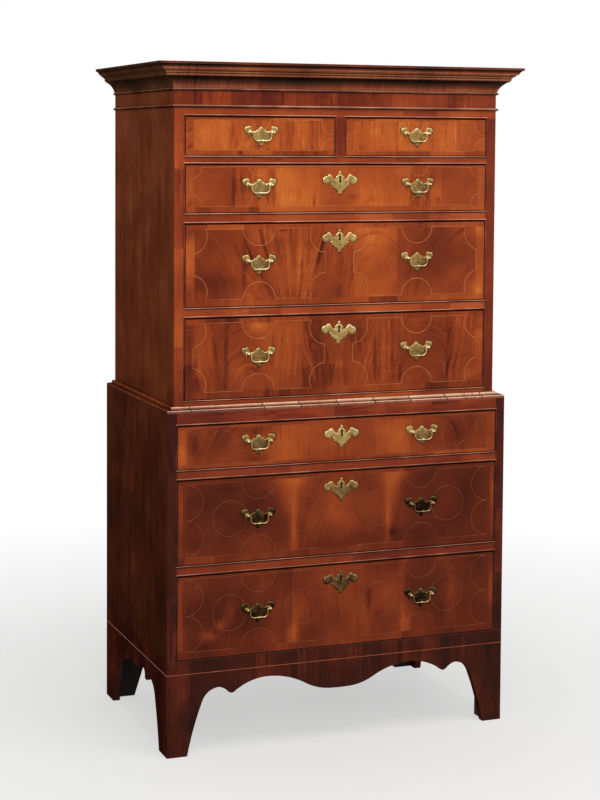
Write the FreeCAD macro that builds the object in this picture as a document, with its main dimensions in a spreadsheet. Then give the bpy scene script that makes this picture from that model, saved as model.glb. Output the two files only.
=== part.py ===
"""A walnut chest on chest (tallboy) with bracket feet: eight drawers, brass bail handles and drawer locks.

Millimetres, +Z up, the front faces -Y. The origin is on the floor, under the middle of the whole piece.
Every sub-part is an object of one document, and its sizes are bound to the cells of the sheet "Sizes".
"""
import FreeCAD, Part
import math
import os
from types import SimpleNamespace
from FreeCAD import Placement, Rotation, Vector

DRIVING_SIZES = {
    # the two chests
    "case_width": 980,
    "lower_depth": 588,
    "upper_setback": 25,
    "side_thickness": 20,
    "lower_stile_width": 26,
    "upper_stile_width": 29,
    "stile_thickness": 20,
    "rail_depth": 60,
    "case_board_thickness": 18,
    "back_board_thickness": 12,
    "back_board_gap": 0.5,
    "back_boards_per_chest": 5,
    # heights, from the floor up
    "base_height": 256,
    "bottom_opening": 225,
    "lower_rail_height": 26,
    "lower_middle_opening": 227,
    "lower_top_opening": 117,
    "lower_top_rail": 32,
    "upper_bottom_rail": 29,
    "upper_bottom_opening": 217,
    "upper_rail_height": 26,
    "upper_middle_opening": 221,
    "upper_top_opening": 129,
    "short_rail_height": 21,
    "short_opening": 104,
    "frieze_height": 132,
    "cornice_lift": 6,
    "divider_width": 30,
    # runners, guides and stops inside the chests
    "runner_width": 45,
    "runner_thickness": 18,
    "centre_runner_width": 120,
    "guide_height": 20,
    "dust_board_thickness": 8,
    "dust_board_drop": 5,
    "kicker_thickness": 14,
    "stop_length": 50,
    "stop_depth": 12,
    "stop_height": 4,
    "stop_offset": 150,
    "stop_clearance": 0.3,
    # mouldings
    "cornice_projection": 58,
    "cornice_height": 66,
    "frieze_bead_height": 7.4,
    "frieze_bead_projection": 5.5,
    "lower_frieze_bead_rise": 21,
    "waist_height": 16,
    "opening_bead_radius": 1.8,
    # base and feet
    "base_board_thickness": 20,
    "foot_width": 56,
    "bracket_length": 180,
    "bracket_arch_height": 177,
    "cusp_height": 158,
    "apron_crown_height": 192,
    "apron_drop_height": 141,
    "side_foot_width": 70,
    "side_bracket_length": 190,
    "side_arch_height": 172,
    "side_cusp_height": 156,
    "side_crown_height": 182,
    "side_drop_height": 169,
    "case_tongue": 10,
    "corner_block": 34,
    "block_floor_clearance": 4,
    "flank_block_length": 90,
    "flank_block_height": 30,
    "rear_bracket_foot": 53,
    "rear_bracket_top": 130,
    "rear_bracket_thickness": 20,
    "rear_bracket_inset": 20,
    # drawers
    "drawer_gap": 1.2,
    "drawer_floor_gap": 1,
    "runner_gap": 0.3,
    "drawer_front_thickness": 22,
    "drawer_side_thickness": 10,
    "drawer_side_drop": 4,
    "drawer_back_drop": 12,
    "drawer_bottom_rise": 6,
    "drawer_bottom_thickness": 7,
    "bottom_groove": 4,
    "drawer_back_clearance": 8,
    "dovetail_lap": 8,
    "dovetail_pitch": 42,
    "dovetail_wide": 0.62,
    "dovetail_narrow": 0.42,
    # handles
    "plate_half_width": 47,
    "plate_crown": 16,
    "plate_drop": 35,
    "plate_thickness": 1.6,
    "post_spacing": 64,
    "post_rise": 9,
    "post_shank_radius": 2.5,
    "post_flange_radius": 5,
    "post_flange_thickness": 1.2,
    "post_neck_radius": 3,
    "post_ball_radius": 4.5,
    "post_reach": 12,
    "nut_radius": 6,
    "nut_thickness": 4,
    "nut_inset": 1.5,
    "bail_wire_radius": 2,
    "bail_pin_radius": 1.4,
    "bail_hole_radius": 1.8,
    "bail_half_width": 24.5,
    "bail_elbow_radius": 2.5,
    "bail_corner_radius": 11,
    "bail_drop": 21,
    "bail_knop_radius": 3.2,
    "bail_knop_length": 5,
    "upper_handle_offset": 230,
    "lower_handle_offset": 238,
    # locks and escutcheons
    "escutcheon_half_width": 50,
    "escutcheon_crown": 22,
    "escutcheon_drop": 40,
    "escutcheon_below_top": 40,
    "escutcheon_pin_radius": 1,
    "escutcheon_pin_length": 8,
    "escutcheon_pin_spread": 38,
    "escutcheon_wing_pin_drop": 4.8,
    "escutcheon_tip_pin_drop": 30,
    "keyhole_radius": 2.8,
    "keyhole_slot": 3.4,
    "keyhole_height": 11.5,
    "lock_width": 64,
    "lock_height": 64,
    "lock_thickness": 13,
    "lock_back_wall": 2,
    "bolt_width": 26,
    "bolt_thickness": 6,
    "bolt_height": 24,
    "bolt_clearance": 0.3,
    "bolt_mortise_depth": 10,
    "key_pin_radius": 1.2,
}

doc = FreeCAD.newDocument("chest_on_chest")
sheet = doc.addObject("Spreadsheet::Sheet", "Sizes")
for row, (alias, number) in enumerate(DRIVING_SIZES.items(), start=1):
    sheet.set(f"A{row}", alias)
    sheet.set(f"B{row}", str(number))
    sheet.setAlias(f"B{row}", alias)
doc.recompute()


class Size:
    """A length worked out from the sheet: its number, and the formula that a property is bound to."""

    def __init__(self, number, formula):
        self.number = number
        self.formula = formula

    def __add__(self, other):
        other = as_size(other)
        return Size(self.number + other.number, f"({self.formula} + {other.formula})")

    def __sub__(self, other):
        other = as_size(other)
        return Size(self.number - other.number, f"({self.formula} - {other.formula})")

    def __mul__(self, factor):
        factor = as_size(factor)
        return Size(self.number * factor.number, f"({self.formula} * {factor.formula})")

    def __truediv__(self, divisor):
        divisor = as_size(divisor)
        return Size(self.number / divisor.number, f"({self.formula} / {divisor.formula})")

    def __neg__(self):
        return Size(-self.number, f"(0 - {self.formula})")

    __radd__ = __add__
    __rmul__ = __mul__


def as_size(value):
    """A Size as it is, or a plain number as a Size."""
    return value if isinstance(value, Size) else Size(value, repr(value))


D = SimpleNamespace(**{alias: Size(sheet.get(alias), f"Sizes.{alias}") for alias in DRIVING_SIZES})
ORIGIN = as_size(0)
nodes = []


# ---------------------------------------------------------------- document helpers

def bind(obj, prop, value):
    """Ties one property of an object to the sheet."""
    obj.setExpression(prop, as_size(value).formula)


def move(obj, x=ORIGIN, y=ORIGIN, z=ORIGIN):
    """Ties an object's place to the sheet and leaves its rotation alone."""
    for axis, value in zip("xyz", (x, y, z)):
        bind(obj, f"Placement.Base.{axis}", value)
    return obj


def board(name, low, high):
    """A box between two opposite corners."""
    box = doc.addObject("Part::Box", name)
    for prop, start, end in zip(("Length", "Width", "Height"), low, high):
        bind(box, prop, as_size(end) - start)
    return move(box, *low)


def cylinder(name, radius, length, rotation, place):
    """A cylinder whose axis is +Z turned by a rotation, from one end's centre."""
    rod = doc.addObject("Part::Cylinder", name)
    bind(rod, "Radius", radius)
    bind(rod, "Height", length)
    rod.Placement = Placement(Vector(), rotation)
    return move(rod, *place)


def mirrored(name, source):
    """The same piece on the other side of the middle plane."""
    copy = doc.addObject("Part::Mirroring", name)
    copy.Source = source
    copy.Normal = (1, 0, 0)
    return copy


def fused(name, pieces):
    """Several shapes glued to one."""
    joined = doc.addObject("Part::MultiFuse", name)
    joined.Shapes = pieces
    return joined


def cut(name, base, tools):
    """A piece with one or more tools taken out of it."""
    trimmed = doc.addObject("Part::Cut", name)
    trimmed.Base = base
    trimmed.Tool = tools[0] if len(tools) == 1 else fused(f"{name}_tools", tools)
    return trimmed


def placed_copy(name, master, x, y, z):
    """One more of a piece that is made once, as a link to it."""
    link = doc.addObject("App::Link", name)
    link.setLink(master)
    link.LinkTransform = True
    return move(link, x, y, z)


def node(name, pieces):
    """A named sub-part: one object that holds one or more separate solids."""
    group = doc.addObject("Part::Compound", f"{name}_solids")
    group.Links = pieces
    group.Label = name
    nodes.append(group)
    return group


def profile_body(name, plane, segments, length):
    """A body padded from an outline of straight and arc segments on one of its own origin planes."""
    body = doc.addObject("PartDesign::Body", name)
    sketch = body.newObject("Sketcher::SketchObject", f"{name}_outline")
    sketch.AttachmentSupport = [(origin_plane(body, plane), "")]
    sketch.MapMode = "FlatFace"
    sketch.addGeometry(segments, False)
    pad = body.newObject("PartDesign::Pad", f"{name}_pad")
    pad.Profile = sketch
    bind(pad, "Length", length)
    return body


def origin_plane(body, role):
    """One of a body's own origin planes."""
    return next(item for item in body.Origin.OriginFeatures if item.Role == role)


SHORTEST_SEGMENT = 1e-6


def outline(steps, close=True):
    """Sketch segments through steps: two numbers end a line, four are an arc's middle point and its end."""
    segments = []
    start = Vector(*steps[0], 0)
    for step in list(steps[1:]) + ([steps[0]] if close else []):
        end = Vector(step[-2], step[-1], 0)
        if len(step) == 4:
            segments.append(Part.Arc(start, Vector(step[0], step[1], 0), end))
        elif (end - start).Length > SHORTEST_SEGMENT:
            segments.append(Part.LineSegment(start, end))
        start = end
    return segments


def both_halves(half):
    """A whole outline from its right half, whose first and last points lie on the middle line."""
    whole = list(half)
    points = [(step[-2], step[-1]) for step in half]
    for index in range(len(half) - 1, 0, -1):
        end = points[index - 1]
        if len(half[index]) == 4:
            whole.append((-half[index][0], half[index][1], -end[0], end[1]))
        else:
            whole.append((-end[0], end[1]))
    return whole[:-1]


# ---------------------------------------------------------------- main levels and planes

overhang = D.cornice_projection - D.upper_setback
front = (overhang - D.lower_depth) / 2
back = front + D.lower_depth
upper_front = front + D.upper_setback
half_width = D.case_width / 2
upper_half_width = half_width - D.upper_setback
inner_back = back - D.back_board_thickness

lower_levels = {}
lower_levels["bottom_drawer"] = (D.base_height, D.base_height + D.bottom_opening)
rail_6_top = lower_levels["bottom_drawer"][1] + D.lower_rail_height
lower_levels["middle_drawer"] = (rail_6_top, rail_6_top + D.lower_middle_opening)
rail_5_top = lower_levels["middle_drawer"][1] + D.lower_rail_height
lower_levels["top_drawer"] = (rail_5_top, rail_5_top + D.lower_top_opening)
waist = lower_levels["top_drawer"][1] + D.lower_top_rail

upper_levels = {}
upper_floor = waist + D.upper_bottom_rail
upper_levels["bottom_drawer"] = (upper_floor, upper_floor + D.upper_bottom_opening)
rail_3_top = upper_levels["bottom_drawer"][1] + D.upper_rail_height
upper_levels["middle_drawer"] = (rail_3_top, rail_3_top + D.upper_middle_opening)
rail_2_top = upper_levels["middle_drawer"][1] + D.upper_rail_height
upper_levels["top_drawer"] = (rail_2_top, rail_2_top + D.upper_top_opening)
rail_1_top = upper_levels["top_drawer"][1] + D.short_rail_height
upper_levels["short_drawers"] = (rail_1_top, rail_1_top + D.short_opening)
frieze_bottom = upper_levels["short_drawers"][1]
upper_top = frieze_bottom + D.frieze_height
cornice_top = upper_top + D.cornice_lift

LOWER = SimpleNamespace(
    name="lower",
    front=front,
    half_width=half_width,
    inner_half_width=half_width - D.side_thickness,
    opening_half_width=half_width - D.lower_stile_width,
    stile_bottom=D.base_height,
    stile_top=waist,
)
UPPER = SimpleNamespace(
    name="upper",
    front=upper_front,
    half_width=upper_half_width,
    inner_half_width=upper_half_width - D.side_thickness,
    opening_half_width=upper_half_width - D.upper_stile_width,
    stile_bottom=waist,
    stile_top=frieze_bottom,
)


# ---------------------------------------------------------------- the carcass of a chest

def case_sides(chest, bottom, top, tongue_bottom=None):
    """Two upright boards behind the stiles, the lower pair with a tongue that holds the bottom board."""
    front_edge = chest.front + D.stile_thickness
    left = board(f"{chest.name}_side_left", (-chest.half_width, front_edge, bottom),
                 (-chest.inner_half_width, back, top))
    if tongue_bottom is not None:
        tongue = board(f"{chest.name}_side_tongue",
                       (-chest.inner_half_width - D.case_tongue, front_edge, tongue_bottom),
                       (-chest.inner_half_width, back, bottom))
        left = fused(f"{chest.name}_side_tongued", [left, tongue])
    right = mirrored(f"{chest.name}_side_right", left)
    return node(f"{chest.name}_case_sides", [left, right])


def case_board(name, chest, front_edge, bottom, top):
    """A top or bottom board between the sides."""
    return board(name, (-chest.inner_half_width, front_edge, bottom),
                 (chest.inner_half_width, inner_back, top))


def back_boards(chest, bottom, top):
    """Upright back boards side by side between the case sides."""
    count = int(round(D.back_boards_per_chest.number))
    pitch = chest.inner_half_width * 2 / count
    boards = []
    for index in range(count):
        left = pitch * index - chest.inner_half_width
        boards.append(board(f"{chest.name}_back_board_{index + 1}", (left, inner_back, bottom),
                            (left + pitch - D.back_board_gap, back, top)))
    return node(f"{chest.name}_back_boards", boards)


def stiles(chest):
    """The two uprights that face the front edges of the sides."""
    left = board(f"{chest.name}_stile_left", (-chest.half_width, chest.front, chest.stile_bottom),
                 (-chest.opening_half_width, chest.front + D.stile_thickness, chest.stile_top))
    return [left, mirrored(f"{chest.name}_stile_right", left)]


def bolt_plane(chest):
    """The plane at mid thickness of a chest's lock bolts."""
    return chest.front + D.drawer_front_thickness - (D.lock_thickness - D.lock_back_wall) / 2


def rail(name, chest, bottom, top, has_mortise=True):
    """A drawer rail between the stiles, with the slot that the lock bolt below it goes into."""
    bar = board(f"{name}_bar", (-chest.opening_half_width, chest.front, bottom),
                (chest.opening_half_width, chest.front + D.rail_depth, top))
    if not has_mortise:
        return bar
    reach = D.bolt_width / 2 + D.bolt_clearance
    depth = D.bolt_thickness / 2 + D.bolt_clearance
    middle = bolt_plane(chest)
    mortise = board(f"{name}_mortise", (-reach, middle - depth, bottom),
                    (reach, middle + depth, bottom + D.bolt_mortise_depth))
    return cut(name, bar, [mortise])


def runner_level(chest, name, top, thickness, has_dust_board=True, centre=False):
    """Runners at both sides of one drawer level, the dust board between them and the guides on top."""
    start = chest.front + D.rail_depth
    inner = chest.inner_half_width - D.runner_width
    pieces = []
    left_runner = board(f"{name}_runner_left", (-chest.inner_half_width, start, top - thickness),
                        (-inner, inner_back, top))
    pieces += [left_runner, mirrored(f"{name}_runner_right", left_runner)]
    pieces += side_guides(chest, name, top, start)
    dust_top = top - D.dust_board_drop
    dust_bottom = dust_top - D.dust_board_thickness
    centre_half = D.centre_runner_width / 2
    if centre:
        pieces.append(board(f"{name}_runner_centre", (-centre_half, start, top - thickness),
                            (centre_half, inner_back, top)))
        pieces.append(board(f"{name}_guide_centre", (-D.divider_width / 2, start, top),
                            (D.divider_width / 2, inner_back, top + D.guide_height)))
    if has_dust_board:
        inner_end = -centre_half if centre else inner
        left_dust = board(f"{name}_dust_board", (-inner, start, dust_bottom),
                          (inner_end, inner_back, dust_top))
        pieces.append(left_dust)
        if centre:
            pieces.append(mirrored(f"{name}_dust_board_right", left_dust))
    return pieces


def side_guides(chest, name, top, start):
    """Strips that keep a drawer off the case sides."""
    left = board(f"{name}_guide_left", (-chest.inner_half_width, start, top),
                 (-chest.opening_half_width, inner_back, top + D.guide_height))
    return [left, mirrored(f"{name}_guide_right", left)]


def drawer_stops(chest, name, level, middles):
    """Small blocks on a rail that the back of a closed drawer front meets."""
    start = chest.front + D.drawer_front_thickness + D.stop_clearance
    return [
        board(f"{name}_stop_{index + 1}", (middle - D.stop_length / 2, start, level),
              (middle + D.stop_length / 2, start + D.stop_depth, level + D.stop_height))
        for index, middle in enumerate(middles)
    ]


def kickers(chest, name, bottom, thickness, start):
    """Bars above the top drawers that keep an open drawer from tipping."""
    inner = chest.inner_half_width - D.runner_width
    left = board(f"{name}_kicker_left", (-chest.inner_half_width, start, bottom),
                 (-inner, inner_back, bottom + thickness))
    return [left, mirrored(f"{name}_kicker_right", left)]


def half_round(name, length, rotation, place):
    """A half-round strip whose round side faces the front."""
    strip = doc.addObject("Part::Cylinder", name)
    strip.Angle = 180
    bind(strip, "Radius", D.opening_bead_radius)
    bind(strip, "Height", length)
    strip.Placement = Placement(Vector(), rotation)
    return move(strip, *place)


def opening_beads(name, chest, left, right, bottom, top, has_bottom=True):
    """The small half-round beads round one drawer opening."""
    upright = Rotation(Vector(0, 0, 1), 180)
    level = Rotation(Vector(0, 1, 0), 90) * upright
    radius = D.opening_bead_radius
    across = right - left + radius * 4
    beads = [
        half_round(f"{name}_bead_left", top - bottom, upright, (left - radius, chest.front, bottom)),
        half_round(f"{name}_bead_right", top - bottom, upright, (right + radius, chest.front, bottom)),
        half_round(f"{name}_bead_top", across, level, (left - radius * 2, chest.front, top + radius)),
    ]
    if has_bottom:
        beads.append(half_round(f"{name}_bead_bottom", across, level,
                                (left - radius * 2, chest.front, bottom - radius)))
    return beads


# ---------------------------------------------------------------- mouldings that turn the front corners

def moulding_outline(steps, projection, height, facing_out):
    """A moulding's section from its points as shares of its projection and height."""
    scaled = []
    for step in steps:
        flat = [share * (projection.number * facing_out if index % 2 == 0 else height.number)
                for index, share in enumerate(step)]
        scaled.append(tuple(flat))
    return outline(scaled)


KNIFE_SPANS = 6


def corner_knife(name, corner_x, corner_y, bottom, height, inner_side):
    """A block with one face on the mitre plane of the front left corner, longer than any moulding is deep."""
    size = D.cornice_projection * KNIFE_SPANS
    half_diagonal = size * math.sqrt(0.5)
    edge_middle = half_diagonal / 2
    block = doc.addObject("Part::Box", name)
    bind(block, "Length", size)
    bind(block, "Width", size)
    bind(block, "Height", height)
    block.Placement = Placement(Vector(), Rotation(Vector(0, 0, 1), 45))
    if inner_side:
        return move(block, corner_x + edge_middle, corner_y - half_diagonal - edge_middle, bottom)
    return move(block, corner_x - edge_middle, corner_y - edge_middle, bottom)


def mitred_set(name, front_piece, left_piece, corner_x, corner_y, bottom, height):
    """A front length and two side lengths, mitred where they meet."""
    outer = corner_knife(f"{name}_front_knife", corner_x, corner_y, bottom, height, inner_side=False)
    inner = corner_knife(f"{name}_side_knife", corner_x, corner_y, bottom, height, inner_side=True)
    front_length = cut(f"{name}_front", front_piece, [outer, mirrored(f"{name}_front_knife_right", outer)])
    left_length = cut(f"{name}_left", left_piece, [inner])
    return [front_length, left_length, mirrored(f"{name}_right", left_length)]


def moulding(name, steps, chest_half_width, face, bottom, projection, height):
    """A moulding on the front and both sides of a chest; steps are its section, from the face outwards."""
    reach = chest_half_width + projection
    section = moulding_outline(steps, projection, height, -1)
    front_piece = profile_body(f"{name}_front_blank", "YZ_Plane", section, reach * 2)
    move(front_piece, -reach, face, bottom)
    side_piece = profile_body(f"{name}_left_blank", "XZ_Plane", section, back - face + projection)
    move(side_piece, -chest_half_width, back, bottom)
    return mitred_set(name, front_piece, side_piece, -chest_half_width, face, bottom, height)


BEAD_STEPS = [(0, 0), (0.33, 0), (1, 0.5, 0.33, 1), (0, 1)]
CORNICE_STEPS = [
    (0, 0), (0.043, 0.01), (0.17, 0.23, 0.51, 0.455), (0.51, 0.485), (0.54, 0.485), (0.54, 0.585),
    (0.586, 0.585), (0.6, 0.64), (0.655, 0.64), (0.695, 0.67, 0.707, 0.72), (0.8, 0.72),
    (0.845, 0.815, 0.92, 0.875), (0.985, 0.9), (1, 0.91), (1, 1), (0, 1),
]
WAIST_STEPS = [
    (0, 0), (1, 0), (1, 0.16), (0.94, 0.42, 0.78, 0.54), (0.335, 0.725), (0.175, 1, 0.015, 0.725), (0, 0.725),
]


# ---------------------------------------------------------------- the base

APRON_STEPS = SimpleNamespace(
    # shares of the way from the foot to the cusp, and of the arch's height
    bracket=[(0.13, 0.38, 0.33, 0.8), (0.48, 0.945, 0.71, 1)],
    # shares of the way from the cusp to the middle, and of the rise from the drop to the crown
    middle=[(0.168, 0.843, 0.355, 1), (0.516, 0.843, 0.66, 0.49), (0.79, 0.137, 0.935, 0.01)],
    cusp_half_width=0.06,
    cusp_rise=5,
    # where the arc that runs down to the cusp bends: a share of the bracket's length, and of the arch's fall
    fall_place=0.83,
    fall_share=0.3,
)


def apron_outline(length, foot, bracket, arch, cusp, crown, drop, top):
    """A base board: a foot at each end, a small arch, a cusp, a long arch and a drop in the middle."""
    length, foot, bracket, arch, cusp, crown, drop, top = (
        size.number for size in (length, foot, bracket, arch, cusp, crown, drop, top))
    half = length / 2
    nose = bracket * APRON_STEPS.cusp_half_width
    lip = cusp + APRON_STEPS.cusp_rise

    def from_middle(x):
        return half - x

    def bracket_point(share, rise):
        return from_middle(foot + share * (bracket - foot)), rise * arch

    def middle_point(share, rise):
        return from_middle(bracket + share * (half - bracket)), drop + rise * (crown - drop)

    half_steps = [(0, top), (half, top), (half, 0), (from_middle(foot), 0)]
    for step in APRON_STEPS.bracket:
        half_steps.append(bracket_point(*step[:2]) + bracket_point(*step[2:]))
    fall = bracket_point(APRON_STEPS.fall_place, 1 - APRON_STEPS.fall_share * (1 - cusp / arch))
    half_steps.append(fall + (from_middle(bracket - nose), lip))
    half_steps.append((from_middle(bracket), cusp, from_middle(bracket + nose), lip))
    for step in APRON_STEPS.middle:
        half_steps.append(middle_point(*step[:2]) + middle_point(*step[2:]))
    half_steps.append((0, drop))
    return outline(both_halves(half_steps))


def base_boards():
    """The shaped front and side boards of the base, mitred in front, with the feet cut from them."""
    front_board = profile_body(
        "base_front_blank", "XZ_Plane",
        apron_outline(D.case_width, D.foot_width, D.bracket_length, D.bracket_arch_height, D.cusp_height,
                      D.apron_crown_height, D.apron_drop_height, D.base_height),
        D.base_board_thickness)
    move(front_board, ORIGIN, front + D.base_board_thickness, ORIGIN)
    side_board = profile_body(
        "base_side_blank", "YZ_Plane",
        apron_outline(D.lower_depth, D.side_foot_width, D.side_bracket_length, D.side_arch_height,
                      D.side_cusp_height, D.side_crown_height, D.side_drop_height, D.base_height),
        D.base_board_thickness)
    move(side_board, -half_width, (front + back) / 2, ORIGIN)
    rebate = board("base_side_rebate", (-LOWER.inner_half_width - D.case_tongue, front + D.stile_thickness,
                                        D.base_height - D.case_board_thickness),
                   (-LOWER.inner_half_width, back, D.base_height))
    side_board = cut("base_side_rebated", side_board, [rebate])
    boards = mitred_set("base", front_board, side_board, -half_width, front, ORIGIN, D.base_height)
    return node("base_boards", boards)


def foot_blocks():
    """Glue blocks in the corners of the base, and the plain tapered brackets of the rear feet."""
    wall = half_width - D.base_board_thickness
    top = D.base_height - D.case_board_thickness
    inside = front + D.base_board_thickness
    bracket_back = back - D.rear_bracket_inset
    bracket_face = bracket_back - D.rear_bracket_thickness
    flank = top - D.flank_block_height
    left = [
        board("front_corner_block", (-wall, inside, D.block_floor_clearance),
              (D.corner_block - wall, inside + D.corner_block, top)),
        board("front_flank_block", (D.corner_block - wall, inside, flank),
              (D.corner_block + D.flank_block_length - wall, inside + D.flank_block_height, top)),
        board("side_flank_block", (-wall, inside + D.corner_block, flank),
              (D.flank_block_height - wall, inside + D.corner_block + D.flank_block_length, top)),
        board("rear_corner_block", (-wall, bracket_back, D.block_floor_clearance),
              (D.corner_block - wall, back, top)),
        board("rear_flank_block", (-wall, bracket_face - D.flank_block_length, flank),
              (D.flank_block_height - wall, bracket_face, top)),
    ]
    taper = outline([(0, 0), (D.rear_bracket_foot.number, 0), (D.rear_bracket_top.number, top.number),
                     (0, top.number)])
    bracket = profile_body("rear_bracket", "XZ_Plane", taper, D.rear_bracket_thickness)
    left.append(move(bracket, -wall, bracket_back, ORIGIN))
    right = [mirrored(f"{piece.Name}_right", piece) for piece in left]
    return node("foot_blocks_and_rear_brackets", left + right)


# ---------------------------------------------------------------- brass parts that are made once and repeated

AWAY_FROM_FRONT = Rotation(Vector(1, 0, 0), -90)
ACROSS = Rotation(Vector(0, 1, 0), 90)

PLATE_STEPS = [
    (0, 1), (0.1, 0.86, 0.155, 0.57), (0.2, 0.38), (0.24, 0.5, 0.3, 0.4), (0.34, 0.22, 0.42, 0.19),
    (0.52, 0.25, 0.6, 0.5), (0.67, 1.05, 0.82, 0.99), (0.99, 0.8, 0.985, 0.3), (0.95, 0.02, 0.8, -0.08),
    (0.78, -0.16, 0.75, -0.32), (0.66, -0.2, 0.52, -0.18), (0.49, -0.36, 0.4, -0.55),
    (0.36, -0.63, 0.26, -0.78), (0.2, -0.74, 0.13, -0.79), (0.1, -0.92, 0, -1),
]
ESCUTCHEON_STEPS = [
    (0, 1), (0.064, 0.886, 0.052, 0.68), (0.11, 0.59, 0.14, 0.477), (0.24, 0.295), (0.24, 0.16),
    (0.26, -0.01, 0.32, 0.005), (0.42, 0.175, 0.49, 0.432), (0.59, 0.618, 0.716, 0.5), (0.77, 0.382),
    (1, -0.067, 0.772, -0.324), (0.616, -0.254, 0.564, -0.184), (0.5, -0.26), (0.53, -0.337, 0.49, -0.404),
    (0.41, -0.438), (0.42, -0.517, 0.35, -0.573), (0.28, -0.596), (0.27, -0.674, 0.2, -0.719),
    (0.15, -0.753), (0.13, -0.82, 0.072, -0.854), (0.084, -0.944, 0, -1),
]


def scaled_plate(steps, half_width, crown, drop):
    """A back plate's outline from shares of its half width, and of its crown above or its drop below."""
    half = []
    for step in steps:
        numbers = []
        for index, share in enumerate(step):
            if index % 2 == 0:
                numbers.append(share * half_width.number)
            else:
                numbers.append(share * (crown.number if share > 0 else drop.number))
        half.append(tuple(numbers))
    return outline(both_halves(half))


def handle_plate():
    """The bat-wing back plate of a handle, with two holes for the posts."""
    shape = scaled_plate(PLATE_STEPS, D.plate_half_width, D.plate_crown, D.plate_drop)
    blank = profile_body("handle_plate_blank", "XZ_Plane", shape, D.plate_thickness)
    drills = post_drills("handle_plate", ORIGIN, -D.plate_thickness, ORIGIN, D.plate_thickness)
    return cut("handle_plate", blank, drills)


def post_drills(name, x, y, z, length):
    """Two round tools where the posts of a handle pass through a board or a plate."""
    return [
        cylinder(f"{name}_drill_{side}", D.post_shank_radius, length, AWAY_FROM_FRONT,
                 (x + D.post_spacing / 2 * sign, y, z))
        for side, sign in (("left", -1), ("right", 1))
    ]


def handle_post():
    """A post: a shank through the drawer front, a flange on the plate, a neck and a ball bored across."""
    flange_face = -D.plate_thickness - D.post_flange_thickness
    shank_length = D.drawer_front_thickness + D.nut_thickness - flange_face
    shank = cylinder("post_shank", D.post_shank_radius, shank_length, AWAY_FROM_FRONT,
                     (ORIGIN, flange_face, ORIGIN))
    flange = cylinder("post_flange", D.post_flange_radius, D.post_flange_thickness, AWAY_FROM_FRONT,
                      (ORIGIN, flange_face, ORIGIN))
    neck = cylinder("post_neck", D.post_neck_radius, D.post_reach + flange_face, AWAY_FROM_FRONT,
                    (ORIGIN, -D.post_reach, ORIGIN))
    ball = doc.addObject("Part::Sphere", "post_ball")
    bind(ball, "Radius", D.post_ball_radius)
    move(ball, ORIGIN, -D.post_reach, ORIGIN)
    ball_width = D.post_ball_radius * 2
    bore = cylinder("post_bore", D.bail_hole_radius, ball_width * 2, ACROSS,
                    (-ball_width, -D.post_reach, ORIGIN))
    return cut("handle_post", fused("post_blank", [shank, flange, neck, ball]), [bore])


def handle_nut():
    """The nut that clamps a post on the inside of the drawer front."""
    disc = cylinder("nut_disc", D.nut_radius, D.nut_thickness - D.nut_inset, AWAY_FROM_FRONT,
                    (ORIGIN, D.drawer_front_thickness, ORIGIN))
    bore = cylinder("nut_bore", D.post_shank_radius, D.nut_thickness, AWAY_FROM_FRONT,
                    (ORIGIN, D.drawer_front_thickness, ORIGIN))
    return cut("handle_nut", disc, [bore])


def wire_bend(name, ring_radius, start_angle, x, z):
    """A quarter bend of the bail's wire in the XZ plane; start_angle is counted from +X towards +Z."""
    bend = doc.addObject("Part::Torus", name)
    bind(bend, "Radius1", ring_radius)
    bind(bend, "Radius2", D.bail_wire_radius)
    bend.Angle3 = 90
    upright = Rotation(Vector(1, 0, 0), 90)
    bend.Placement = Placement(Vector(), upright * Rotation(Vector(0, 0, 1), start_angle))
    return move(bend, x, ORIGIN, z)


def bail():
    """The swinging bail: a rounded U of wire with a knop in the middle, hung from the X axis by two pins."""
    wire = D.bail_wire_radius
    elbow = D.bail_elbow_radius
    corner = D.bail_corner_radius
    pin_start = D.bail_half_width + elbow
    pin_end = D.post_spacing / 2 + D.bail_pin_radius
    corner_x = D.bail_half_width - corner
    corner_z = corner - D.bail_drop
    right_half = fused("bail_right_half", [
        cylinder("bail_bottom", wire, corner_x, ACROSS, (ORIGIN, ORIGIN, -D.bail_drop)),
        wire_bend("bail_corner", corner, 270, corner_x, corner_z),
        cylinder("bail_upright", wire, -elbow - corner_z, Rotation(), (D.bail_half_width, ORIGIN, corner_z)),
        wire_bend("bail_elbow", elbow, 90, pin_start, -elbow),
        cylinder("bail_pin", D.bail_pin_radius, pin_end - pin_start, ACROSS, (pin_start, ORIGIN, ORIGIN)),
    ])
    knop = cylinder("bail_knop", D.bail_knop_radius, D.bail_knop_length, ACROSS,
                    (-D.bail_knop_length / 2, ORIGIN, -D.bail_drop))
    return fused("bail", [right_half, mirrored("bail_left_half", right_half), knop])


def keyhole_tool(name, place, length):
    """A keyhole: two round ends joined by a narrower slot."""
    x, y, z = place
    reach = D.keyhole_height / 2
    half_slot = D.keyhole_slot / 2
    return [
        cylinder(f"{name}_round_top", D.keyhole_radius, length, AWAY_FROM_FRONT, (x, y, z + reach)),
        cylinder(f"{name}_round_bottom", D.keyhole_radius, length, AWAY_FROM_FRONT, (x, y, z - reach)),
        board(f"{name}_slot", (x - half_slot, y, z - reach), (x + half_slot, y + length, z + reach)),
    ]


def pin_places():
    """Where an escutcheon's pins go: one in each wing and one near the bottom tip."""
    return [(-D.escutcheon_pin_spread, -D.escutcheon_wing_pin_drop),
            (D.escutcheon_pin_spread, -D.escutcheon_wing_pin_drop),
            (ORIGIN, -D.escutcheon_tip_pin_drop)]


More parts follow.
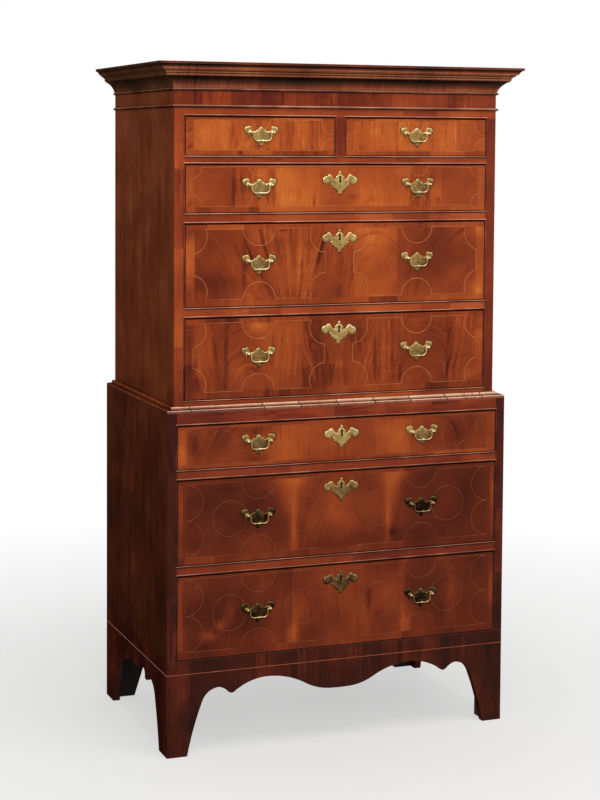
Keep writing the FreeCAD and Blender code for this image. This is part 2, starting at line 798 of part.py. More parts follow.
def escutcheon():
    """The pierced escutcheon round a keyhole."""
    shape = scaled_plate(ESCUTCHEON_STEPS, D.escutcheon_half_width, D.escutcheon_crown, D.escutcheon_drop)
    blank = profile_body("escutcheon_blank", "XZ_Plane", shape, D.plate_thickness)
    tools = keyhole_tool("escutcheon_keyhole", (ORIGIN, -D.plate_thickness, ORIGIN), D.plate_thickness)
    for index, (x, z) in enumerate(pin_places()):
        tools.append(cylinder(f"escutcheon_pin_hole_{index + 1}", D.escutcheon_pin_radius, D.plate_thickness,
                              AWAY_FROM_FRONT, (x, -D.plate_thickness, z)))
    return cut("escutcheon", blank, tools)


def escutcheon_pin():
    """A small brass pin that holds an escutcheon."""
    return cylinder("escutcheon_pin", D.escutcheon_pin_radius, D.plate_thickness + D.escutcheon_pin_length,
                    AWAY_FROM_FRONT, (ORIGIN, -D.plate_thickness, ORIGIN))


def lock_case():
    """The iron-bound lock let into the back of a drawer front, with its bolt's channel and a pin for the key.

    It is made with the drawer's front plane at y = 0 and the drawer's top edge at z = 0.
    """
    half = D.lock_width / 2
    lock_front = D.drawer_front_thickness - D.lock_thickness
    block = board("lock_block", (-half, lock_front, -D.lock_height), (half, D.drawer_front_thickness, ORIGIN))
    reach = D.bolt_width / 2 + D.bolt_clearance
    middle = D.drawer_front_thickness - (D.lock_thickness - D.lock_back_wall) / 2
    depth = D.bolt_thickness / 2 + D.bolt_clearance
    channel = board("lock_channel", (-reach, middle - depth, -D.bolt_height), (reach, middle + depth, ORIGIN))
    key_depth = D.lock_thickness - D.lock_back_wall
    key_space = keyhole_tool("lock_keyhole", (ORIGIN, lock_front, -D.escutcheon_below_top), key_depth)
    key_pin = cylinder("lock_key_pin", D.key_pin_radius, key_depth, AWAY_FROM_FRONT,
                       (ORIGIN, lock_front, -D.escutcheon_below_top + D.keyhole_height / 2))
    hollow = cut("lock_hollow", block, [channel] + key_space)
    return fused("lock_case", [hollow, key_pin])


def lock_bolt():
    """The bolt that slides up out of a lock into the rail above."""
    half = D.bolt_width / 2
    middle = D.drawer_front_thickness - (D.lock_thickness - D.lock_back_wall) / 2
    depth = D.bolt_thickness / 2
    return board("lock_bolt", (-half, middle - depth, -D.bolt_height), (half, middle + depth, ORIGIN))


MASTERS = SimpleNamespace(
    plate=handle_plate(), post=handle_post(), nut=handle_nut(), bail=bail(),
    escutcheon=escutcheon(), escutcheon_pin=escutcheon_pin(), lock=lock_case(), bolt=lock_bolt(),
)


# ---------------------------------------------------------------- drawers

def dovetails(name, left, right, root, bottom, top):
    """Tails on the front end of a drawer side, wider at their tips than at their roots."""
    height = (top - bottom).number
    count = max(2, int(round(height / D.dovetail_pitch.number)))
    pitch = (top - bottom) / count
    tails = []
    for index in range(count):
        tail = doc.addObject("Part::Wedge", f"{name}_tail_{index + 1}")
        for prop, value in (
            ("Xmin", ORIGIN), ("Xmax", right - left), ("X2min", ORIGIN), ("X2max", right - left),
            ("Ymin", ORIGIN), ("Ymax", D.drawer_front_thickness - D.dovetail_lap),
            ("Zmin", -pitch * D.dovetail_wide / 2), ("Zmax", pitch * D.dovetail_wide / 2),
            ("Z2min", -pitch * D.dovetail_narrow / 2), ("Z2max", pitch * D.dovetail_narrow / 2),
        ):
            bind(tail, prop, value)
        move(tail, left, root - D.drawer_front_thickness + D.dovetail_lap, bottom + pitch * (index + 0.5))
        tails.append(tail)
    return tails


def drawer(name, chest, left, right, level, handle_offsets, has_lock):
    """One drawer: its front, its lining of sides, back and bottom, its brass, its bails and its lock bolt."""
    opening_bottom, opening_top = level
    front_left = left + D.drawer_gap
    front_right = right - D.drawer_gap
    middle = (left + right) / 2
    bottom = opening_bottom + D.drawer_floor_gap
    top = opening_top - D.drawer_gap
    face = chest.front
    root = face + D.drawer_front_thickness
    rear = inner_back - D.drawer_back_clearance
    thickness = D.drawer_side_thickness
    side_bottom = opening_bottom + D.runner_gap
    side_top = top - D.drawer_side_drop

    floor_bottom = bottom + D.drawer_bottom_rise
    floor_top = floor_bottom + D.drawer_bottom_thickness
    floor = board(f"{name}_bottom",
                  (front_left + thickness - D.bottom_groove, root - D.bottom_groove, floor_bottom),
                  (front_right - thickness + D.bottom_groove, rear, floor_top))
    rear_board = board(f"{name}_back", (front_left + thickness, rear - thickness, floor_top),
                       (front_right - thickness, rear, side_top - D.drawer_back_drop))
    lining = [floor, rear_board]
    sockets = [floor]
    left_side = ("left", front_left, front_left + thickness)
    right_side = ("right", front_right - thickness, front_right)
    for side, start, end in (left_side, right_side):
        tails = dovetails(f"{name}_{side}", start, end, root, bottom, side_top)
        plain = board(f"{name}_{side}_board", (start, root, side_bottom), (end, rear, side_top))
        lining.append(cut(f"{name}_{side}_side", fused(f"{name}_{side}_blank", [plain] + tails), [floor]))
        sockets += tails

    post_z = (bottom + top) / 2 + D.post_rise
    tools = list(sockets)
    brass = []
    for index, offset in enumerate(handle_offsets):
        x = middle + offset
        tools += post_drills(f"{name}_front_{index + 1}", x, face, post_z, D.drawer_front_thickness)
        brass.append(placed_copy(f"{name}_plate_{index + 1}", MASTERS.plate, x, face, post_z))
        for side, sign in (("left", -1), ("right", 1)):
            post_x = x + D.post_spacing / 2 * sign
            brass.append(placed_copy(f"{name}_post_{index + 1}_{side}", MASTERS.post, post_x, face, post_z))
            brass.append(placed_copy(f"{name}_nut_{index + 1}_{side}", MASTERS.nut, post_x, face, post_z))
    if has_lock:
        key_z = top - D.escutcheon_below_top
        lock_face = root - D.lock_thickness
        tools += keyhole_tool(f"{name}_keyhole", (middle, face, key_z), lock_face - face)
        tools.append(board(f"{name}_lock_recess", (middle - D.lock_width / 2, lock_face, top - D.lock_height),
                           (middle + D.lock_width / 2, root, top)))
        brass.append(placed_copy(f"{name}_escutcheon", MASTERS.escutcheon, middle, face, key_z))
        brass.append(placed_copy(f"{name}_lock", MASTERS.lock, middle, face, top))
        for index, (x, z) in enumerate(pin_places()):
            pin_x = middle + x
            pin_z = key_z + z
            tools.append(cylinder(f"{name}_pin_hole_{index + 1}", D.escutcheon_pin_radius,
                                  D.escutcheon_pin_length, AWAY_FROM_FRONT, (pin_x, face, pin_z)))
            brass.append(placed_copy(f"{name}_pin_{index + 1}", MASTERS.escutcheon_pin, pin_x, face, pin_z))

    blank = board(f"{name}_front_blank", (front_left, face, bottom), (front_right, root, top))
    node(f"{name}_front", [cut(f"{name}_front_board", blank, tools)])
    node(f"{name}_lining", lining)
    node(f"{name}_brass_fittings", brass)
    bail_names = ["bail"] if len(handle_offsets) == 1 else ["left_bail", "right_bail"]
    for bail_name, offset in zip(bail_names, handle_offsets):
        swinging = placed_copy(f"{name}_{bail_name}_copy", MASTERS.bail,
                               middle + offset, face - D.post_reach, post_z)
        node(f"{name}_{bail_name}", [swinging])
    if has_lock:
        node(f"{name}_lock_bolt", [placed_copy(f"{name}_bolt_copy", MASTERS.bolt, middle, face, top)])


# ---------------------------------------------------------------- lower chest

case_sides(LOWER, D.base_height, waist, tongue_bottom=D.base_height - D.case_board_thickness)
lower_board_front = front + D.rail_depth
node("lower_case_boards", [
    case_board("lower_bottom_board", LOWER, front + D.base_board_thickness,
               D.base_height - D.case_board_thickness, D.base_height),
    case_board("lower_top_board", LOWER, lower_board_front, waist - D.case_board_thickness, waist),
])
back_boards(LOWER, D.base_height - D.case_board_thickness, waist)
node("lower_front_frame", stiles(LOWER) + [
    rail("lower_rail_above_bottom_drawer", LOWER,
         lower_levels["bottom_drawer"][1], lower_levels["middle_drawer"][0]),
    rail("lower_rail_above_middle_drawer", LOWER,
         lower_levels["middle_drawer"][1], lower_levels["top_drawer"][0]),
    rail("lower_rail_above_top_drawer", LOWER, lower_levels["top_drawer"][1], waist),
])
pair_of_stops = (-D.stop_offset, D.stop_offset)
node("lower_runners_and_dust_boards",
     side_guides(LOWER, "lower_floor", D.base_height, lower_board_front)
     + drawer_stops(LOWER, "lower_floor", D.base_height, pair_of_stops)
     + runner_level(LOWER, "lower_middle", lower_levels["middle_drawer"][0], D.runner_thickness)
     + drawer_stops(LOWER, "lower_middle", lower_levels["middle_drawer"][0], pair_of_stops)
     + runner_level(LOWER, "lower_top", lower_levels["top_drawer"][0], D.runner_thickness)
     + drawer_stops(LOWER, "lower_top", lower_levels["top_drawer"][0], pair_of_stops)
     + kickers(LOWER, "lower", lower_levels["top_drawer"][1], D.kicker_thickness, lower_board_front))
base_boards()
foot_blocks()
node("waist_moulding",
     moulding("waist", WAIST_STEPS, upper_half_width, upper_front, waist, D.upper_setback, D.waist_height))

# ---------------------------------------------------------------- upper chest

case_sides(UPPER, waist, upper_top)
upper_board_front = upper_front + D.rail_depth
node("upper_case_boards", [
    case_board("upper_bottom_board", UPPER, upper_board_front, waist, waist + D.case_board_thickness),
    case_board("upper_top_board", UPPER, upper_front + D.stile_thickness,
               upper_top - D.case_board_thickness, upper_top),
])
back_boards(UPPER, waist, upper_top)
divider_half = D.divider_width / 2
frieze_board = board("frieze_board", (-upper_half_width, upper_front, frieze_bottom),
                     (upper_half_width, upper_front + D.stile_thickness, upper_top))
divider = board("short_drawer_divider", (-divider_half, upper_front, upper_levels["short_drawers"][0]),
                (divider_half, upper_board_front, frieze_bottom))
node("upper_front_frame", stiles(UPPER) + [
    rail("upper_bottom_rail_bar", UPPER, waist, upper_floor, has_mortise=False),
    rail("upper_rail_above_bottom_drawer", UPPER,
         upper_levels["bottom_drawer"][1], upper_levels["middle_drawer"][0]),
    rail("upper_rail_above_middle_drawer", UPPER,
         upper_levels["middle_drawer"][1], upper_levels["top_drawer"][0]),
    rail("upper_rail_above_top_drawer", UPPER,
         upper_levels["top_drawer"][1], upper_levels["short_drawers"][0]),
    divider,
    frieze_board,
])
short_centre = (UPPER.opening_half_width + divider_half) / 2
floor_runner_thickness = D.upper_bottom_rail - D.case_board_thickness
centre_kicker = board("upper_kicker_centre", (-divider_half, upper_board_front, frieze_bottom),
                      (divider_half, inner_back, frieze_bottom + D.runner_thickness))
node("upper_runners_and_dust_boards",
     runner_level(UPPER, "upper_floor", upper_floor, floor_runner_thickness, has_dust_board=False)
     + drawer_stops(UPPER, "upper_floor", upper_floor, pair_of_stops)
     + runner_level(UPPER, "upper_middle", upper_levels["middle_drawer"][0], D.runner_thickness)
     + drawer_stops(UPPER, "upper_middle", upper_levels["middle_drawer"][0], pair_of_stops)
     + runner_level(UPPER, "upper_top", upper_levels["top_drawer"][0], D.runner_thickness)
     + drawer_stops(UPPER, "upper_top", upper_levels["top_drawer"][0], pair_of_stops)
     + runner_level(UPPER, "short", upper_levels["short_drawers"][0], D.runner_thickness, centre=True)
     + drawer_stops(UPPER, "short", upper_levels["short_drawers"][0], (-short_centre, short_centre))
     + kickers(UPPER, "upper", frieze_bottom, D.runner_thickness, upper_board_front)
     + [centre_kicker])
cornice_bottom = cornice_top - D.cornice_height
node("cornice_moulding",
     moulding("cornice", CORNICE_STEPS, upper_half_width, upper_front, cornice_bottom,
              D.cornice_projection, D.cornice_height))
bead_size = (D.frieze_bead_projection, D.frieze_bead_height)
node("frieze_beads",
     moulding("upper_frieze_bead", BEAD_STEPS, upper_half_width, upper_front,
              cornice_bottom - D.frieze_bead_height, *bead_size)
     + moulding("lower_frieze_bead", BEAD_STEPS, upper_half_width, upper_front,
                frieze_bottom + D.lower_frieze_bead_rise, *bead_size))

# ---------------------------------------------------------------- drawers and the beads round their openings

lower_opening = (-LOWER.opening_half_width, LOWER.opening_half_width)
upper_opening = (-UPPER.opening_half_width, UPPER.opening_half_width)
beads = []
for level_name, level in lower_levels.items():
    name = f"lower_{level_name}"
    offsets = (-D.lower_handle_offset, D.lower_handle_offset)
    drawer(name, LOWER, *lower_opening, level, offsets, has_lock=True)
    beads += opening_beads(name, LOWER, *lower_opening, *level, has_bottom=level_name != "bottom_drawer")
for level_name in ("bottom_drawer", "middle_drawer", "top_drawer"):
    name = f"upper_{level_name}"
    offsets = (-D.upper_handle_offset, D.upper_handle_offset)
    drawer(name, UPPER, *upper_opening, upper_levels[level_name], offsets, has_lock=True)
    beads += opening_beads(name, UPPER, *upper_opening, *upper_levels[level_name])
short_level = upper_levels["short_drawers"]
for name, left, right in (
    ("left_short_drawer", -UPPER.opening_half_width, -divider_half),
    ("right_short_drawer", divider_half, UPPER.opening_half_width),
):
    drawer(name, UPPER, left, right, short_level, (ORIGIN,), has_lock=False)
    beads += opening_beads(name, UPPER, left, right, *short_level)
node("drawer_opening_beads", beads)


# ---------------------------------------------------------------- check and export

doc.recompute()
failed = [obj.Name for obj in doc.Objects if "Invalid" in obj.State or "Error" in obj.State]
if failed:
    raise RuntimeError(f"failed objects: {failed}")
os.makedirs("parts", exist_ok=True)
for group in nodes:
    if group.Shape.isNull() or not group.Shape.isValid():
        raise RuntimeError(f"bad shape: {group.Label}")
for group in nodes:
    group.Shape.exportStep(f"parts/{group.Label}.step")
print(len(nodes), "nodes,", sum(len(group.Shape.Solids) for group in nodes), "solids")
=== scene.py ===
"""A walnut chest on chest with inlaid drawers and brass handles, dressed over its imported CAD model."""
import cmath
import contextlib
import math
import random

import bpy
from mathutils import Matrix, Vector


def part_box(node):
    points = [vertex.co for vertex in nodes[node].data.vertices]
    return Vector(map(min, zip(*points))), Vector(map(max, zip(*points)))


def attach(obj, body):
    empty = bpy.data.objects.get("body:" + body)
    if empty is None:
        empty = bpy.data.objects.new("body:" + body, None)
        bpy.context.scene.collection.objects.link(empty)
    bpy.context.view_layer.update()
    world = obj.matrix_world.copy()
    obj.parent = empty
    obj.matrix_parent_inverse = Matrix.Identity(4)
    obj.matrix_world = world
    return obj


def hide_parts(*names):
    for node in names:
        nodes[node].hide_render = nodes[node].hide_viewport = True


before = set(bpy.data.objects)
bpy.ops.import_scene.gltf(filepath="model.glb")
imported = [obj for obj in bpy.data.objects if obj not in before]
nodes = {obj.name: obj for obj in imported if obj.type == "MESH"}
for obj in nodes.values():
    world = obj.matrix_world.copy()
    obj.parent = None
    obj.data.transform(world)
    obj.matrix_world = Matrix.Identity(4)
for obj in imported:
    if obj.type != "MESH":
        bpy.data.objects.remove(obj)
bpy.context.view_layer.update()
MM = 0.001

# ------------------------------------------------------------------ carcass
# The sides of both chests are pine boards veneered with straight-grained walnut, polished and waxed for
# three centuries. The tops, bottoms, runners, dust boards and back boards are bare pine, brown with age.


def linear(hex_colour):
    """An sRGB hex colour as the linear RGBA that shaders use."""
    parts = [int(hex_colour[i:i + 2], 16) / 255 for i in (1, 3, 5)]
    return tuple(p / 12.92 if p <= 0.04045 else ((p + 0.055) / 1.055) ** 2.4 for p in parts) + (1.0,)


def add(tree, kind, inputs=None, out=0, stops=None, **settings):
    """Adds one node and returns one of its outputs.

    Inputs go by socket name or number, as values or as other nodes' outputs; stops are a colour ramp's.
    """
    node = tree.nodes.new(f"ShaderNode{kind}")
    for name, value in settings.items():
        setattr(node, name, value)
    for socket, value in (inputs or {}).items():
        if isinstance(value, bpy.types.NodeSocket):
            tree.links.new(value, node.inputs[socket])
        else:
            node.inputs[socket].default_value = value
    if stops:
        ramp = node.color_ramp
        while len(ramp.elements) < len(stops):
            ramp.elements.new(0.5)
        for element, (place, colour) in zip(ramp.elements, stops):
            element.position = place
            element.color = linear(colour)
    return node.outputs[out] if node.outputs else None


def new_finish(name):
    """An empty material, and its tree to fill."""
    finish = bpy.data.materials.new(name)
    finish.use_nodes = True
    finish.node_tree.nodes.clear()
    return finish, finish.node_tree


def weighted(tree, *terms, plus=0.0):
    """A constant plus a sum of outputs, each times its weight."""
    total = plus
    for output, weight in terms:
        total = add(tree, "Math", {0: output, 1: weight, 2: total}, operation="MULTIPLY_ADD")
    return total


def grain_noise(tree, grain, across, along, detail, distortion=0.0):
    """Noise round zero, stretched along the grain: across and along are its wavelengths in millimetres."""
    scale = (1 / (across * MM), 1 / (along * MM), 1 / (across * MM))
    stretched = add(tree, "Mapping", {"Vector": grain, "Scale": scale})
    noise = add(tree, "TexNoise", {"Vector": stretched, "Scale": 1.0, "Detail": detail, "Distortion": distortion})
    return add(tree, "Math", {0: noise, 1: 0.5}, operation="SUBTRACT")


def wax_coat(tree, straight_on, slanting):
    """The weight of a coat of wax, which changes from where a face is seen straight on to where it slants away."""
    slant = add(tree, "LayerWeight", {"Blend": 0.5}, out="Facing")
    return add(tree, "MapRange", {"Value": slant, "From Min": 0.15, "From Max": 0.65, "To Min": straight_on,
                                  "To Max": slanting})


WALNUT = ((0.0, "#1F0D07"), (0.18, "#43180D"), (0.36, "#6E2B16"), (0.52, "#96411E"), (0.68, "#B95A26"),
          (0.84, "#D07A34"), (1.0, "#E29C54"))
GRAIN_TURNS = {"Z": (math.pi / 2, 0, 0), "X": (0, 0, math.pi / 2), "Y": (0, 0, 0)}


def walnut(name, grain_source, tone=0.0, figure=1.0, streaks=1.0, gloss=0.3, coat=0.0, coat_rough=0.18,
           colours=WALNUT, patch=None, painted_shade_by_height=0.0):
    """Polished walnut: long soft bands of colour, dark mineral streaks, fine pores, and blotches from age.

    grain_source is "sheet" for a sheet with its own grain map and tones, or the object axis that the grain follows.
    patch is the length in millimetres of the short pieces that a face is laid up from, along x and y. The last
    argument is the tone gained over one metre of height, which paints a face darker towards the bottom as painted
    shade.
    """
    finish, tree = new_finish(name)
    place = add(tree, "TexCoord", out="Object")
    on_sheet = grain_source == "sheet"
    if on_sheet:
        grain = add(tree, "UVMap", uv_map="grain")
    else:
        grain = add(tree, "Mapping", {"Vector": place, "Rotation": GRAIN_TURNS[grain_source]})
    wander = add(tree, "TexNoise", {"Vector": place, "Scale": 9.0, "Detail": 2.0}, out="Color")
    wander = add(tree, "VectorMath", {0: wander, 1: (0.5, 0.5, 0.5)}, operation="SUBTRACT")
    wander_reach = 30 * figure * MM
    grain = add(tree, "VectorMath", {0: wander, 1: (wander_reach, 0, wander_reach), 2: grain},
                operation="MULTIPLY_ADD")
    bands = grain_noise(tree, grain, 42, 520, 2.5, 0.4)
    lines = grain_noise(tree, grain, 9, 260, 3.0, 0.2)
    fibres = grain_noise(tree, grain, 2.2, 70, 2.0)
    curl = grain_noise(tree, grain, 70, 16, 1.5, 0.3)
    streak = grain_noise(tree, grain, 17, 330, 4.0, 0.7)
    streak = add(tree, "MapRange", {"Value": streak, "From Min": 0.06, "From Max": 0.22})
    blotch = add(tree, "TexNoise", {"Vector": place, "Scale": 7.0, "Detail": 2.0})
    blotch = add(tree, "Math", {0: blotch, 1: 0.5}, operation="SUBTRACT")
    specks = add(tree, "TexVoronoi", {"Vector": place, "Scale": 46.0})
    specks = add(tree, "MapRange", {"Value": specks, "From Min": 0.13, "From Max": 0.05})
    clouds = add(tree, "TexNoise", {"Vector": place, "Scale": 11.0, "Detail": 1.0})
    clouds = add(tree, "MapRange", {"Value": clouds, "From Min": 0.38, "From Max": 0.62, "To Min": 0.3,
                                    "To Max": 1.4})
    drawn = weighted(tree, (bands, 0.42 * figure), (lines, 0.36 * figure), (curl, 0.16 * figure),
                     (streak, -0.3 * streaks), (fibres, 0.16))
    drawn = add(tree, "Math", {0: drawn, 1: clouds}, operation="MULTIPLY")
    terms = [(fibres, 0.14), (blotch, 0.42), (specks, -0.1)]
    if on_sheet:
        leaf_streaks = add(tree, "Attribute", out="Fac", attribute_name="streaks")
        drawn = add(tree, "Math", {0: drawn, 1: leaf_streaks}, operation="MULTIPLY")
        terms.append((add(tree, "Attribute", out="Fac", attribute_name="tone"), 1.0))
    # Painted shade: the tone falls towards the bottom of the face.
    if painted_shade_by_height:
        terms.append((add(tree, "SeparateXYZ", {0: place}, out="Z"), painted_shade_by_height))
    if patch:
        cell = add(tree, "VectorMath", {0: place, 1: (1 / (patch * MM), 1 / (patch * MM), 0)}, operation="MULTIPLY")
        cell = add(tree, "VectorMath", {0: cell}, operation="FLOOR")
        terms.append((add(tree, "TexWhiteNoise", {"Vector": cell}), 0.11))
        tone -= 0.055  # the pieces' own tones add this much on average
    colour = add(tree, "ValToRGB", {"Fac": weighted(tree, (drawn, 1.0), *terms, plus=tone)}, stops=colours)
    rough = weighted(tree, (blotch, 0.16), (fibres, 0.12), plus=gloss)
    relief = weighted(tree, (fibres, 1.0), (streak, -0.4))
    bump = add(tree, "Bump", {"Height": relief, "Strength": 0.25, "Distance": 0.0004})
    shader = add(tree, "BsdfPrincipled", {
        "Base Color": colour, "Roughness": rough, "Normal": bump, "Specular IOR Level": 0.0,
        "Coat Weight": wax_coat(tree, coat, coat * 0.04), "Coat Roughness": coat_rough})
    add(tree, "OutputMaterial", {"Surface": shader})
    return finish


def finish_node(node_name, finish):
    """Puts one finish in every material slot of a CAD node."""
    data = nodes[node_name].data
    if not data.materials:
        data.materials.append(finish)
    for index in range(len(data.materials)):
        data.materials[index] = finish


SIDE_WALNUT = ((0.0, "#1C0D07"), (0.25, "#4B2112"), (0.5, "#793A21"), (0.75, "#9E5735"), (1.0, "#BC7C4C"))
# Both sides are painted darker towards the bottom, and the lower case's sides are a darker copy of the upper ones, as
# painted shade where less light from above reaches.
side_walnut = walnut("walnut_side_veneer_waxed", "Z", tone=0.35, figure=0.5, streaks=0.4, coat=0.15,
                     colours=SIDE_WALNUT, painted_shade_by_height=0.15)
lower_side_walnut_in_painted_shade = walnut("walnut_lower_side_veneer_painted_shade", "Z", tone=0.14, figure=0.5, streaks=0.4, coat=0.15,
                           colours=SIDE_WALNUT, painted_shade_by_height=0.22)
finish_node("upper_case_sides", side_walnut)
finish_node("lower_case_sides", lower_side_walnut_in_painted_shade)

PINE = ((0.0, "#2E1A0E"), (0.35, "#623E22"), (0.6, "#875A33"), (1.0, "#AE8050"))


def bare_wood(name, axis, stops, tone=0.5, ring=16, rough=0.8, painted_gap_shadow=False, first_board=0.0, board_width=0.0):
    """Unfinished softwood or oak: growth rings as long bands and fine pores, rough and matt, dark with age.

    With a board width, in metres, upright boards side by side differ in tone and meet in dark joints. With the gap
    shadow switched on, the faces that look forward are painted black, as a painted shadow in the gaps round a drawer.
    """
    finish, tree = new_finish(name)
    place = add(tree, "TexCoord", out="Object")
    grain = add(tree, "Mapping", {"Vector": place, "Rotation": GRAIN_TURNS[axis]})
    rings = grain_noise(tree, grain, ring, 600, 3.0, 0.5)
    fibres = grain_noise(tree, grain, 1.6, 45, 2.0)
    stain = add(tree, "TexNoise", {"Vector": place, "Scale": 5.0, "Detail": 3.0})
    terms = [(rings, 0.7), (fibres, 0.3), (stain, 0.35)]
    if board_width:
        across = add(tree, "SeparateXYZ", {0: place}, out="X")
        count = add(tree, "MapRange", {"Value": across, "From Min": first_board,
                                       "From Max": first_board + board_width}, clamp=False)
        number = add(tree, "Math", {0: count}, operation="FLOOR")
        number = add(tree, "Math", {0: number, 1: first_board}, operation="ADD")
        each = add(tree, "TexWhiteNoise", {"W": number}, noise_dimensions="1D")
        share = add(tree, "Math", {0: count}, operation="FRACT")
        joint = add(tree, "Math", {0: share, 1: 0.995, 2: 0.009}, operation="COMPARE")
        terms += [(each, 0.22), (joint, -0.45)]
    # Painted shadow: faces that look forward are painted black.
    if painted_gap_shadow:
        outward = add(tree, "SeparateXYZ", {0: add(tree, "TexCoord", out="Normal")}, out="Y")
        terms.append((add(tree, "MapRange", {"Value": outward, "From Min": -0.5, "From Max": -0.9}), -1.0))
    value = weighted(tree, *terms, plus=tone - 0.17)
    colour = add(tree, "ValToRGB", {"Fac": value}, stops=stops)
    bump = add(tree, "Bump", {"Height": fibres, "Strength": 0.5, "Distance": 0.0005})
    shader = add(tree, "BsdfPrincipled", {"Base Color": colour, "Roughness": rough, "Normal": bump,
                                          "Specular IOR Level": 0.0 if painted_gap_shadow else 0.2})
    add(tree, "OutputMaterial", {"Surface": shader})
    return finish


pine_across = bare_wood("old_pine_planed_across", "X", PINE, tone=0.45)
pine_deep = bare_wood("old_pine_planed_front_to_back", "Y", PINE, tone=0.45)
BACK_BOARD_COUNT = 5
for node_name in ("lower_back_boards", "upper_back_boards"):
    low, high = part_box(node_name)
    finish_node(node_name, bare_wood(f"old_pine_{node_name}", "Z", PINE, tone=0.34, first_board=low.x,
                                     board_width=(high.x - low.x) / BACK_BOARD_COUNT))
for node_name in ("lower_case_boards", "upper_case_boards"):
    finish_node(node_name, pine_across)
for node_name in ("lower_runners_and_dust_boards", "upper_runners_and_dust_boards"):
    finish_node(node_name, pine_deep)

# ------------------------------------------------------------------ base and feet
# The base boards carry the shaped apron and the bracket feet, cut from the same boards and veneered upright in
# short lengths. A thin line of lighter wood is let in round them. Blocks glued inside are stained nearly black.

base_walnut = walnut("walnut_base_veneer_waxed", "Z", tone=0.18, figure=0.45, streaks=0.3, gloss=0.36, patch=61,
                     coat=0.15)
finish_node("base_boards", base_walnut)
BLACK_STAIN = ((0.0, "#050302"), (0.5, "#120B07"), (1.0, "#241710"))
finish_node("foot_blocks_and_rear_brackets", bare_wood("pine_blocks_stained_black", "Z", BLACK_STAIN, rough=0.7))


def select_only(obj):
    """Leaves one object selected and active."""
    bpy.ops.object.select_all(action="DESELECT")
    obj.select_set(True)
    bpy.context.view_layer.objects.active = obj


def settle(obj, name):
    """Names a finished piece, puts its place into its mesh and leaves it deselected."""
    select_only(obj)
    bpy.ops.object.transform_apply(location=True, rotation=True, scale=True)
    obj.name = name
    obj.data.name = name
    obj.select_set(False)
    return obj


def joined(objects, name):
    """Several meshes as one settled piece."""
    bpy.ops.object.select_all(action="DESELECT")
    for obj in objects:
        obj.select_set(True)
    bpy.context.view_layer.objects.active = objects[0]
    if len(objects) > 1:
        bpy.ops.object.join()
    return settle(bpy.context.view_layer.objects.active, name)


def wire(name, paths, thick, sides, kind="POLY"):
    """Round wires as one mesh on the plane y = 0; paths are (points in x and z, closed) in millimetres."""
    curve = bpy.data.curves.new(name, "CURVE")
    curve.dimensions = "3D"
    curve.bevel_depth = thick / 2 * MM
    curve.bevel_resolution = sides
    curve.use_fill_caps = True
    for points, closed in paths:
        spline = curve.splines.new(kind)
        spline.points.add(len(points) - 1)
        for point, (x, z) in zip(spline.points, points):
            point.co = (x * MM, 0, z * MM, 1)
        spline.use_cyclic_u = closed
        if kind == "NURBS":
            spline.use_endpoint_u = True
            spline.order_u = 3
    obj = bpy.data.objects.new(name, curve)
    bpy.context.scene.collection.objects.link(obj)
    select_only(obj)
    bpy.ops.object.convert(target="MESH")
    return bpy.context.view_layer.objects.active


def inlaid_lines(name, paths, face, width, proud=0.12):
    """Flat strips of inlay on a plane that faces the front, along paths as a wire has them."""
    strip = wire(name, paths, width, 0)
    strip.scale.y = proud * 2 / width
    strip.location.y = face * MM
    return settle(strip, name)


def level_line(left, right, height):
    """A path straight across."""
    return [(left, height), (right, height)], False


BOXWOOD = ((0.0, "#6E2C10"), (0.5, "#B5531F"), (1.0, "#D8843E"))


def nearly_even(name, stops, tone, scale=28.0, rough=0.4, shine=0.3):
    """A matt surface of nearly one colour with faint dashes, as waxed boxwood strings have; it also paints the painted
    shadow lines under beads and round plates, and the joint line above the base.
    """
    finish, tree = new_finish(name)
    place = add(tree, "TexCoord", out="Object")
    drift = add(tree, "TexNoise", {"Vector": place, "Scale": scale, "Detail": 3.0})
    colour = add(tree, "ValToRGB", {"Fac": weighted(tree, (drift, 0.9), plus=tone - 0.45)}, stops=stops)
    shader = add(tree, "BsdfPrincipled", {"Base Color": colour, "Roughness": rough, "Specular IOR Level": shine})
    add(tree, "OutputMaterial", {"Surface": shader})
    return finish


base_low, base_high = (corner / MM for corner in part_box("base_boards"))
LINE_HEIGHT = 219
LINE_WIDTH = 2.2
base_lines = [inlaid_lines("base_line_front", [level_line(base_low.x, base_high.x, LINE_HEIGHT)], base_low.y,
                           LINE_WIDTH)]
for x in (base_low.x, base_high.x):
    line = inlaid_lines("base_line_side", [level_line(base_low.y, base_high.y, LINE_HEIGHT)], 0, LINE_WIDTH)
    line.data.transform(Matrix.Translation((x * MM, 0, 0)) @ Matrix.Rotation(math.pi / 2, 4, "Z"))
    base_lines.append(line)
base_line = joined(base_lines, "base_line_inlay")
base_line.data.materials.append(nearly_even("fruitwood_line_waxed", BOXWOOD, 0.3))
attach(base_line, "case")

# The line along the top of the base is a dark joint, and the pale stops in its colours are a painted highlight on the
# edge.
JOINT_LINE_HEIGHT = base_high.z - 0.8
JOINT_LINE_WIDTH = 1.4
joint_line = inlaid_lines("base_joint_line", [level_line(base_low.x, base_high.x, JOINT_LINE_HEIGHT)],
                          base_low.y, JOINT_LINE_WIDTH)
joint_line.data.materials.append(nearly_even(
    "dark_joint_with_painted_highlight", ((0.0, "#1C0C07"), (0.5, "#5E3224"), (0.75, "#B08A78"), (1.0, "#D8C4B4")), 0.35))
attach(joint_line, "case")

# ------------------------------------------------------------------ mouldings
# The cornice and the waist moulding are pine faced with short lengths of cross-grained walnut, each about a hand
# long, planed to shape after gluing and mitred at the corners. The joints between the lengths have opened a little.

